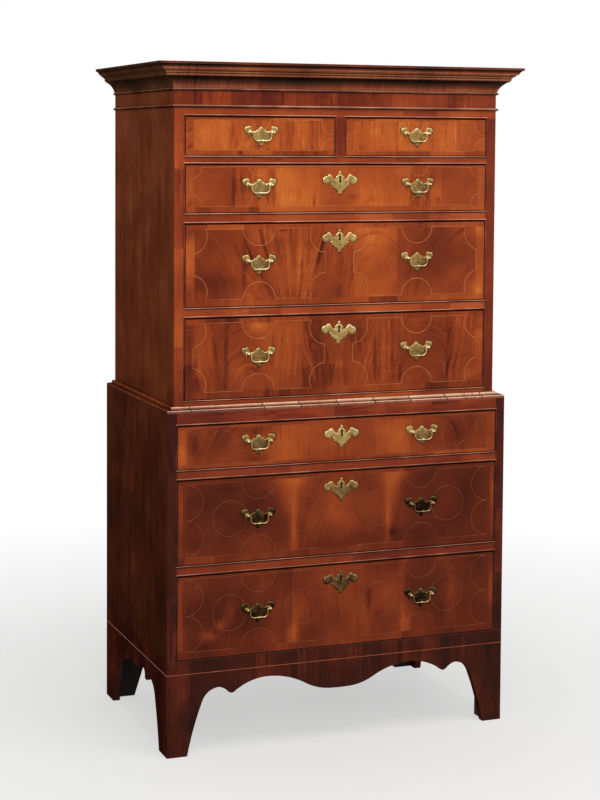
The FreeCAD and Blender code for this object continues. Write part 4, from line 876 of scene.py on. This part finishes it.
dressed_front(
    "lower_bottom_drawer", 9, 20, 16, (0.38, 0.35),
    [(-140, 0.3, 0.16, straight(-12, 8)), (192, 0.37, 0.2, straight(3, 9)), (460, 0.3, 0.14, straight(12, 8))],
    ((0.35, 0.34), (0.5, 0.44), (0.72, 0.42), (1, 0.32)), ((0.3, 0.32), (0.5, 0.4), (0.7, 0.42), (1, 0.32)),
    ((20, 380, 150, 120, 0.12), (-374, 316, 24, 15, 0.26), (-342, 342, 20, 13, 0.22), (-316, 372, 13, 24, 0.16),
     (-356, 326, 7, 6, -0.2), (-131, 300, 9, 46, 0.2), (-146, 292, 9, 46, 0.2), (186, 292, 9, 46, 0.16),
     (200, 290, 9, 40, 0.22), (83, 375, 6, 30, -0.16), (330, 370, 18, 80, 0.12), (-456, 380, 7, 60, 0.14),
     (456, 380, 6, 60, 0.14), (-230, 300, 60, 30, 0.06), (-420, 440, 30, 30, 0.05), (110, 330, 14, 12, -0.07)),
    keyhole=439.8)


def arc(x, z, radius, start, end):
    """Points along an arc of a string, from one angle to another in degrees."""
    count = max(3, round(abs(end - start) / 7))
    angles = [math.radians(start + (end - start) * i / count) for i in range(count + 1)]
    return [(x + radius * math.cos(a), z + radius * math.sin(a)) for a in angles]


def both_sides(*paths):
    """Strings drawn on the right half, and the same ones mirrored on the left half."""
    return list(paths) + [([(-x, z) for x, z in points], closed) for points, closed in paths]


HOLLOW, ROUND = 45, 48


def panel_strings(inner, outer, top, bottom, dip):
    """One panel of an upper drawer: hollow corners and a hollow dip above and below the handle."""
    points = (arc(39, top - 21, HOLLOW, -88, 28) + arc(dip, top, HOLLOW, 180, 360)
              + arc(outer + 9, top - 20, HOLLOW, 154, 258) + arc(outer + 9, bottom + 20, HOLLOW, 102, 206)
              + arc(dip, bottom, HOLLOW, 0, 180) + arc(39, bottom + 21, HOLLOW, -28, 88))
    return [(max(inner, x), z) for x, z in points], True


def lower_strings(middle, top, bottom):
    """One half of a deep lower drawer: two stacked D's, two circles, and the lines with their dips."""
    return both_sides(
        (arc(439, middle + ROUND, ROUND, 90, 270), True), (arc(439, middle - ROUND, ROUND, 90, 270), True),
        (arc(317, middle, ROUND, 0, 353), True), (arc(112, middle, ROUND, 0, 353), True),
        ([(439, top)] + arc(237, top, ROUND, 360, 180) + [(50, top)], False),
        ([(439, bottom)] + arc(237, bottom, ROUND, 0, 180) + [(50, bottom)], False))


string_wood = nearly_even("boxwood_strings_waxed", ((0.0, "#8E4820"), (0.5, "#C8763A"), (1.0, "#E6A866")), 0.5)
faded_string_wood = nearly_even("boxwood_strings_faded", ((0.0, "#8E4A22"), (0.5, "#B46A34"), (1.0, "#D08C50")), 0.5)
lower_string_wood = nearly_even("boxwood_strings_browned", ((0.0, "#4E2212"), (0.5, "#84421F"), (1.0, "#AE6A38")), 0.5)

short_panel = (arc(20, 1668, 33, -90, 8) + arc(225.5, 1673, 25, 180, 360) + arc(431, 1668, 33, 172, 270)
               + arc(431, 1592, 33, 90, 180) + arc(20, 1592, 33, 0, 90))
top_panel = (arc(233, 1551, 26, 180, 360) + arc(420, 1548, 30, 180, 270) + arc(420, 1446, 30, 90, 180)
             + arc(234, 1446, 26, 0, 180))
STRINGS = {
    "right_short_drawer": [(short_panel, True)],
    "left_short_drawer": [([(-x, z) for x, z in short_panel], True)],
    "upper_top_drawer": [(top_panel + [(-x, z) for x, z in reversed(top_panel)], True)],
    "upper_middle_drawer": both_sides(panel_strings(41, 410.5, 1387, 1201, 229)),
    "upper_bottom_drawer": both_sides(panel_strings(41, 413, 1140, 958, 231)),
    "lower_top_drawer": both_sides((arc(440, 824, 40, 90, 270), True), (arc(337, 822, 38, 0, 353), True),
                                   level_line(440, 50, 869), level_line(440, 50, 770)),
    "lower_middle_drawer": lower_strings(625, 721, 528),
    "lower_bottom_drawer": lower_strings(373, 471, 277),
}
STRING_WIDTH, LOWER_STRING_WIDTH, STRING_PROUD = 1.5, 1.3, 0.1
for drawer, paths in STRINGS.items():
    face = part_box(f"{drawer}_front")[0].y / MM - VENEER_PROUD
    width, finish = STRING_WIDTH, string_wood
    if drawer.startswith("lower"):
        width, finish = LOWER_STRING_WIDTH, lower_string_wood
    elif "short" in drawer or "upper_top" in drawer:
        finish = faded_string_wood
    strings = inlaid_lines(f"{drawer}_strings", paths, face, width, STRING_PROUD)
    strings.data.materials.append(finish)
    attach(strings, drawer)

# ------------------------------------------------------------------ drawer linings
# The drawers' sides and backs are thin oak, dovetailed, and their bottoms are oak boards with the grain running
# front to back. They have never been polished.

for drawer in STRINGS:
    finish_node(f"{drawer}_lining", oak)

# ------------------------------------------------------------------ handles
# Every handle is cast and filed brass: a back plate in the shape of a bat's wings with chased lines, two posts with
# ball heads nutted inside the drawer, and a bail that swings on pins in the balls. All are toned and worn.

AGED_BRASS = ((0.0, "#1E140C"), (0.3, "#6A5030"), (0.55, "#A6884E"), (0.8, "#CDB684"), (1.0, "#E8D8B6"))


def aged_brass(name, tone, rough, polish=0.26):
    """Old lacquered brass: gold with brown patina in its hollows and rubbed bright at its edges, lighter on pieces
    higher up. Faces that look up are painted lighter and faces that look down darker, as painted light from above.
    """
    finish, tree = new_finish(name)
    place = add(tree, "TexCoord", out="Object")
    upward = add(tree, "SeparateXYZ", {0: add(tree, "TexCoord", out="Normal")}, out="Z")
    cloud = add(tree, "TexNoise", {"Vector": place, "Scale": 70.0, "Detail": 4.0})
    fine = add(tree, "TexNoise", {"Vector": place, "Scale": 900.0, "Detail": 2.0})
    worn = add(tree, "NewGeometry", out="Pointiness")
    worn = add(tree, "MapRange", {"Value": worn, "From Min": 0.46, "From Max": 0.58})
    each = add(tree, "TexNoise", {"Vector": place, "Scale": 6.0, "Detail": 0.0})
    height = add(tree, "SeparateXYZ", {0: place}, out="Z")
    height_lift = add(tree, "MapRange", {"Value": height, "From Min": 0.6, "From Max": 0.84})
    # Painted light: the upward normal adds tone, so faces that look up are painted lighter and faces that look down
    # darker.
    value = weighted(tree, (cloud, 0.45), (fine, 0.15), (worn, 0.2), (each, 0.4), (height_lift, polish), (upward, 0.5),
                     plus=tone - 0.84)
    colour = add(tree, "ValToRGB", {"Fac": value}, stops=AGED_BRASS)
    roughness = weighted(tree, (cloud, -0.2), (fine, 0.15), plus=rough)
    bump = add(tree, "Bump", {"Height": fine, "Strength": 0.2, "Distance": 0.0003})
    shader = add(tree, "BsdfPrincipled", {"Base Color": colour, "Metallic": 1.0, "Roughness": roughness,
                                          "Normal": bump})
    add(tree, "OutputMaterial", {"Surface": shader})
    return finish


brass = aged_brass("brass_cast_toned_and_worn", 0.53, 0.3)
dull_brass = aged_brass("brass_plate_dull_and_brown", 0.25, 0.38, 0.39)
bright_brass = aged_brass("brass_rubbed_by_hands", 0.54, 0.34)
tarnish = aged_brass("brass_tarnish_in_hollows", 0.1, 0.6)

PLATE_STEPS = [
    (0, 1), (0.1, 0.86, 0.155, 0.57), (0.2, 0.38), (0.24, 0.5, 0.3, 0.4), (0.34, 0.22, 0.42, 0.19),
    (0.52, 0.25, 0.6, 0.5), (0.67, 1.05, 0.82, 0.99), (0.99, 0.8, 0.985, 0.3), (0.95, 0.02, 0.8, -0.08),
    (0.78, -0.16, 0.75, -0.32), (0.66, -0.2, 0.52, -0.18), (0.49, -0.36, 0.4, -0.55), (0.36, -0.63, 0.26, -0.78),
    (0.2, -0.74, 0.13, -0.79), (0.1, -0.92, 0, -1),
]
PLATE_SIZE = (47, 16, 35)
PLATE_THICK = 1.6
BORDER_WIDTH, BORDER_FALL = 1.6, 0.9


def ease_edges(obj, width, segments):
    """Takes the sharpness off a piece's edges."""
    select_only(obj)
    ease = obj.modifiers.new("eased edges", "BEVEL")
    ease.width = width * MM
    ease.segments = segments
    ease.limit_method = "ANGLE"
    ease.angle_limit = math.radians(50)
    bpy.ops.object.modifier_apply(modifier=ease.name)


def sheet_metal(name, steps, size, finish, thick=PLATE_THICK, larger=0.0):
    """A symmetrical plate, its back on y = 0; a thick one slopes down to its edges all round.

    The size is half its width and its heights above and below the middle; larger is added to all three.
    """
    right = outline_points(steps, *(part + larger for part in size))
    fall = BORDER_FALL if thick > BORDER_FALL else 0
    outline = right + [(-x, z) for x, z in reversed(right[1:-1])]
    plate = extruded(name, [(x, 0, z) for x, z in outline], (0, fall - thick, 0))
    if fall:
        for polygon in plate.data.polygons:
            polygon.select = polygon.normal.y < -0.9
        bpy.ops.object.mode_set(mode="EDIT")
        bpy.ops.mesh.select_mode(type="FACE")
        bpy.ops.mesh.inset(thickness=BORDER_WIDTH * MM, depth=fall * MM)
        bpy.ops.object.mode_set(mode="OBJECT")
    ease_edges(plate, 0.15, 1)
    plate.data.materials.append(finish)
    return plate


def cut_away(obj, cutter):
    """Cuts a tool's shape out of a piece; the cut faces keep the tool's material."""
    select_only(obj)
    cut = obj.modifiers.new("cut", "BOOLEAN")
    cut.operation = "DIFFERENCE"
    cut.solver = "EXACT"
    cut.object = cutter
    cut.material_mode = "TRANSFER"
    bpy.ops.object.modifier_apply(modifier=cut.name)
    bpy.data.objects.remove(cutter)


ROD_AXES = {"X": (Vector((1, 0, 0)), (0, math.pi / 2, 0)), "Y": (Vector((0, 1, 0)), (-math.pi / 2, 0, 0))}


def rod(radius, length, place, axis="Y", sides=24, finish=None):
    """A round rod along one axis from its place, in millimetres."""
    way, turn = ROD_AXES[axis]
    obj = primitive("cylinder", vertices=sides, radius=radius * MM, depth=length * MM,
                    location=(Vector(place) + way * length / 2) * MM, rotation=turn)
    if finish:
        obj.data.materials.append(finish)
    return obj


GROOVE_WIDTH, DOT_RADIUS, DOT_SUNK = 0.76, 0.8, 0.4


def chase(plate, lines, dots):
    """Chases grooves and punches dots into the front of a plate, dark with old polish."""
    tools = wire("chasing", [([(side * x, z) for x, z in points], False) for points in lines for side in (-1, 1)],
                 GROOVE_WIDTH, 1, "NURBS")
    tools.location.y = -PLATE_THICK * MM
    tools.data.materials.append(tarnish)
    cut_away(plate, tools)
    for x, z in dots:
        cut_away(plate, rod(DOT_RADIUS, 1, (x, DOT_SUNK - 1 - PLATE_THICK, z), sides=10, finish=tarnish))


# A thin black sheet a little larger than each plate and escutcheon lies under it, as a painted shadow round its edges.
painted_plate_shadow = nearly_even("painted_shadow_round_a_plate", ((0.27, "#0B0503"), (0.63, "#2C130A")), 0.45, scale=300.0,
                      rough=0.6, shine=0.1)
SHADOW_REACH, SHADOW_THICK = 2.0, 0.3
plate_shadow = sheet_metal("plate_shadow", PLATE_STEPS, PLATE_SIZE, painted_plate_shadow, SHADOW_THICK, SHADOW_REACH)
plate_master = sheet_metal("plate", PLATE_STEPS, PLATE_SIZE, dull_brass)
chase(plate_master,
      [[(9, 8), (12, 3), (17, 0.5), (24, 3), (30, 10)], [(34, 12), (41, 11), (43, 5)], [(5, -4), (10, -9), (20, -8)],
       [(4, -14), (9, -17), (11, -23)], [(2, 10), (6, 6), (4, 0)]],
      [(0, 5), (0, -2), (0, -9), (0, -25), (-38, 5), (38, 5), (-17, -14), (17, -14)])
POST_OFFSET = 32
for side in (-1, 1):
    cut_away(plate_master, rod(2.5, 6, (side * POST_OFFSET, -4, 0)))

post_master = primitive("circle", vertices=24, radius=5 * MM, location=(0, -PLATE_THICK * MM, 0),
                        rotation=(math.pi / 2, 0, 0), fill_type="NGON")
POST_TURNING = [(5, -2.5), (4.4, -2.8), (3.1, -3.3), (3.0, -5.5), (3.4, -7.0), (2.9, -7.8), (4.0, -9.9), (4.5, -12),
                (4.3, -13.4), (3.6, -14.7), (2.4, -15.8), (1.1, -16.4), (0.2, -16.5)]
radius_now, depth_now = 5, -PLATE_THICK
with editing(post_master):
    for radius, depth in POST_TURNING:
        bpy.ops.mesh.extrude_region_move(TRANSFORM_OT_translate={"value": (0, (depth - depth_now) * MM, 0)})
        ratio = radius / radius_now
        bpy.ops.transform.resize(value=(ratio, 1, ratio), center_override=(0, depth * MM, 0))
        radius_now, depth_now = radius, depth
    bpy.ops.mesh.select_all(action="SELECT")
    bpy.ops.mesh.normals_make_consistent(inside=False)
settle(post_master, "post")
post_master.data.materials.append(bright_brass)
cut_away(post_master, rod(1.8, 12, (-6, -12, 0), "X"))
shank_master = settle(rod(2.45, 29.4, (0, -3, 0), finish=brass), "shank")
nut_master = rod(6, 2.5, (0, 22, 0), sides=6, finish=brass)
cut_away(nut_master, rod(2.4, 5, (0, 21, 0)))
settle(nut_master, "nut")


def copy_at(master, place, name="copy", turn=Matrix()):
    """A copy of a finished piece with its own mesh, turned and moved to a place in millimetres."""
    copy = bpy.data.objects.new(name, master.data.copy())
    bpy.context.scene.collection.objects.link(copy)
    copy.data.transform(Matrix.Translation(Vector(place) * MM) @ turn)
    return copy


BAIL_WIRE = 3.5
half_bail = arc(27, -2.5, 2.5, 90, 180) + arc(13.5, -10, 11, 0, -90)
bail_parts = [wire("bail", [([(-x, z) for x, z in half_bail] + half_bail[::-1], False)], BAIL_WIRE, 5),
              rod(1.4, 6.4, (27, 0, 0), "X", 16), rod(1.4, 6.4, (-33.4, 0, 0), "X", 16)]
bail_parts += [rod(radius, length, (offset, 0, -21), "X")
               for offset, radius, length in ((-2.5, 3.2, 5), (-3.6, 2.5, 1.1), (2.5, 2.5, 1.1))]
bail_master = joined(bail_parts, "bail_master")
bail_master.data.materials.append(bright_brass)
ease_edges(bail_master, 0.35, 2)

# ------------------------------------------------------------------ escutcheons and locks
# The escutcheons are pierced and chased like the handles and pinned on with three brass pins each. Behind each one
# an iron lock is let into the back of the drawer front, dark and a little rusty.

ESCUTCHEON_STEPS = [
    (0, 1), (0.064, 0.886, 0.052, 0.68), (0.11, 0.59, 0.14, 0.477), (0.24, 0.295), (0.24, 0.16),
    (0.26, -0.01, 0.32, 0.005), (0.42, 0.175, 0.49, 0.432), (0.59, 0.618, 0.716, 0.5), (0.77, 0.382),
    (1, -0.067, 0.772, -0.324), (0.616, -0.254, 0.564, -0.184), (0.5, -0.26), (0.53, -0.337, 0.49, -0.404),
    (0.41, -0.438), (0.42, -0.517, 0.35, -0.573), (0.28, -0.596), (0.27, -0.674, 0.2, -0.719),
    (0.15, -0.753), (0.13, -0.82, 0.072, -0.854), (0.084, -0.944, 0, -1),
]
ESCUTCHEON_SIZE = (50, 22, 40)
KEYHOLE_REACH = 5.75
KEYHOLE_BELOW_TOP = 40


def keyhole_tools(start, length, wear=0.0):
    """The two round ends and the slot of a keyhole, as tools along y; wear widens it."""
    half_slot = 1.7 + wear
    return [rod(2.8 + wear, length, (0, start, KEYHOLE_REACH)), rod(2.8 + wear, length, (0, start, -KEYHOLE_REACH)),
            block((-half_slot, start, -KEYHOLE_REACH), (half_slot, start + length, KEYHOLE_REACH))]


escutcheon_shadow = sheet_metal("escutcheon_shadow", ESCUTCHEON_STEPS, ESCUTCHEON_SIZE, painted_plate_shadow, SHADOW_THICK, SHADOW_REACH)
escutcheon_master = sheet_metal("escutcheon", ESCUTCHEON_STEPS, ESCUTCHEON_SIZE, brass)
chase(escutcheon_master,
      [[(9, 6), (10, -1), (15, -4), (22, 2), (29, 8), (34, 6)], [(33, -2), (37, 3), (44, 1), (46, -5), (42, -10)],
       [(8, -12), (15, -15), (21, -15)], [(6, -18), (12, -21.5), (8, -27), (3, -30)]],
      [(0, 15), (0, -13), (0, -19), (0, -25), (-27, 0), (27, 0), (-16, -10), (16, -10)])
for pierced in (escutcheon_master, escutcheon_shadow):
    for tool in keyhole_tools(-4, 8, wear=0.7):
        cut_away(pierced, tool)
pins = []
for x, z in ((-38, -4.8), (38, -4.8), (0, -30)):
    cut_away(escutcheon_master, rod(1, 6, (x, -4, z), sides=16))
    pins += [rod(0.95, 9, (x, -1.8, z), sides=16, finish=brass), rod(1.5, 0.5, (x, -2.1, z), sides=16, finish=brass)]
pins_master = joined(pins, "pins")


def old_iron(name):
    """Wrought iron, filed once and dark since, with a bloom of brown rust."""
    finish, tree = new_finish(name)
    place = add(tree, "TexCoord", out="Object")
    rust = add(tree, "TexNoise", {"Vector": place, "Scale": 160.0, "Detail": 5.0})
    colour = add(tree, "ValToRGB", {"Fac": rust}, stops=((0.3, "#1C1A18"), (0.55, "#3A3430"), (0.75, "#5E3C26")))
    rough = add(tree, "MapRange", {"Value": rust, "To Min": 0.4, "To Max": 0.8})
    bump = add(tree, "Bump", {"Height": rust, "Strength": 0.3, "Distance": 0.0003})
    shader = add(tree, "BsdfPrincipled", {"Base Color": colour, "Metallic": 0.7, "Roughness": rough,
                                          "Normal": bump})
    add(tree, "OutputMaterial", {"Surface": shader})
    return finish


iron = old_iron("iron_wrought_and_rusted")

lock_master = block((-32, 9, -64), (32, 22, 0))
cut_away(lock_master, block((-13.3, 11.2, -24), (13.3, 17.8, 1)))
for tool in keyhole_tools(8, 12):
    tool.location.z -= KEYHOLE_BELOW_TOP * MM
    cut_away(lock_master, tool)
key_pin = rod(1.2, 11, (0, 9, KEYHOLE_REACH - KEYHOLE_BELOW_TOP))
lock_master = joined([lock_master, key_pin], "lock_master")
lock_master.data.materials.clear()
lock_master.data.materials.append(iron)

POST_ABOVE_MIDDLE, BAIL_FORWARD = 9, 12
SLIPPED_ROUND = {"upper_bottom_drawer": 3.0}
for drawer in STRINGS:
    low, high = (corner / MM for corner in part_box(f"{drawer}_front"))
    post_z = (low.z + high.z) / 2 + POST_ABOVE_MIDDLE
    fittings = []
    for bail_name in [name for name in nodes if name.startswith(drawer) and name.endswith("bail")]:
        bail_low, bail_high = (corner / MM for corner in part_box(bail_name))
        x = (bail_low.x + bail_high.x) / 2
        fittings += [copy_at(master, (x, low.y, post_z)) for master in (plate_shadow, plate_master)]
        fittings += [copy_at(master, (x + side * POST_OFFSET, low.y, post_z)) for side in (-1, 1)
                     for master in (post_master, shank_master, nut_master)]
        bail = copy_at(bail_master, (x, low.y - BAIL_FORWARD, post_z), f"{bail_name}_ring")
        smooth(bail, 35)
        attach(bail, bail_name)
        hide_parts(bail_name)
    if f"{drawer}_lock_bolt" in nodes:
        turn = Matrix.Rotation(math.radians(SLIPPED_ROUND.get(drawer, 0)), 4, "Y")
        fittings += [copy_at(master, (0, low.y, high.z - KEYHOLE_BELOW_TOP), turn=turn)
                     for master in (escutcheon_shadow, escutcheon_master, pins_master)]
        lock = copy_at(lock_master, (0, low.y, high.z), f"{drawer}_lock")
        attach(lock, drawer)
        finish_node(f"{drawer}_lock_bolt", iron)
    fittings = joined(fittings, f"{drawer}_handles_and_escutcheon")
    smooth(fittings, 30)
    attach(fittings, drawer)
    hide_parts(f"{drawer}_brass_fittings")
for master in (plate_shadow, escutcheon_shadow, plate_master, post_master, shank_master, nut_master, bail_master,
               escutcheon_master, pins_master, lock_master):
    bpy.data.objects.remove(master)

# ------------------------------------------------------------------ studio
# A pale floor under a soft even light: a large lamp to the left of the viewer, a weaker one to the right, and a
# white surround that only the camera and reflections see at full strength.

floor = primitive("plane", size=60, location=(0, 0, 0))
floor.name = "studio_floor"


def seen_directly(tree):
    """1 for rays from the camera and in reflections or glass, 0 for the rays that carry light."""
    camera_ray, glossy_ray, glass_ray = (
        add(tree, "LightPath", out=f"Is {kind} Ray") for kind in ("Camera", "Glossy", "Transmission"))
    either = add(tree, "Math", {0: camera_ray, 1: glossy_ray}, operation="MAXIMUM")
    return add(tree, "Math", {0: either, 1: glass_ray}, operation="MAXIMUM")


floor_paint, floor_tree = new_finish("floor_paint_matt")
floor_place = add(floor_tree, "TexCoord", out="Object")
floor_tone = add(floor_tree, "TexNoise", {"Vector": floor_place, "Scale": 3.0})
floor_colour = add(floor_tree, "ValToRGB", {"Fac": floor_tone}, stops=((0, "#C9C7C4"), (1, "#CFCDCB")))
floor_diffuse = add(floor_tree, "BsdfPrincipled", {"Base Color": floor_colour, "Roughness": 0.8,
                                                   "Specular IOR Level": 0.1})
far = add(floor_tree, "VectorMath", {0: floor_place}, out="Value", operation="LENGTH")
white_share = add(floor_tree, "MapRange", {"Value": far, "From Min": 0.3, "From Max": 2.6, "To Min": 0.55,
                                           "To Max": 1.0})
white_share = add(floor_tree, "Math", {0: white_share, 1: seen_directly(floor_tree)}, operation="MULTIPLY")
white = add(floor_tree, "Emission", {"Color": (1, 1, 1, 1), "Strength": 1.0})
floor_shader = add(floor_tree, "MixShader", {0: white_share, 1: floor_diffuse, 2: white})
add(floor_tree, "OutputMaterial", {"Surface": floor_shader})
floor.data.materials.append(floor_paint)

SURROUND_LIGHT = 0.39
world = bpy.data.worlds.new("surround")
bpy.context.scene.world = world
world.use_nodes = True
world.node_tree.nodes.clear()
seen = seen_directly(world.node_tree)
seen = add(world.node_tree, "Math", {0: seen, 1: SURROUND_LIGHT}, operation="MAXIMUM")
surround = add(world.node_tree, "Background", {"Color": (1, 1, 1, 1), "Strength": seen})
add(world.node_tree, "OutputWorld", {"Surface": surround})


def lamp(name, place, aim, size, power):
    """A square soft lamp at a place, turned to a point, both in metres."""
    bpy.ops.object.select_all(action="DESELECT")
    bpy.ops.object.light_add(type="AREA", location=place)
    light = bpy.context.view_layer.objects.active
    light.name = name
    light.data.size = size
    light.data.energy = power
    light.rotation_euler = (Vector(aim) - Vector(place)).to_track_quat("-Z", "Y").to_euler()


lamp("key_lamp", (-1.5, -4.4, 3.2), (0, -0.2, 1.0), 1.8, 56)
lamp("top_lamp", (0.2, -1.6, 4.2), (0, -0.2, 1.2), 2.0, 82)
lamp("fill_lamp", (3.2, -3.6, 2.2), (0, -0.2, 0.9), 2.6, 16)

yaw, pitch, roll = (math.radians(angle) for angle in (20.427, 3.4, 0.3))
forward = Vector((math.sin(yaw) * math.cos(pitch), math.cos(yaw) * math.cos(pitch), -math.sin(pitch)))
level = Vector((math.cos(yaw), -math.sin(yaw), 0))
upright = level.cross(forward)
camera_x = level * math.cos(roll) + upright * math.sin(roll)
camera_y = upright * math.cos(roll) - level * math.sin(roll)
bpy.ops.object.select_all(action="DESELECT")
bpy.ops.object.camera_add(location=(-1.8634, -4.66, 1.6126))
camera = bpy.context.view_layer.objects.active
camera.rotation_euler = Matrix((camera_x, camera_y, -forward)).transposed().to_euler()
camera.data.sensor_width = 36
camera.data.lens = 80.29
camera.data.shift_x = 0.0475
camera.data.shift_y = -0.189
bpy.context.scene.camera = camera
bpy.context.scene.view_settings.view_transform = "Standard"
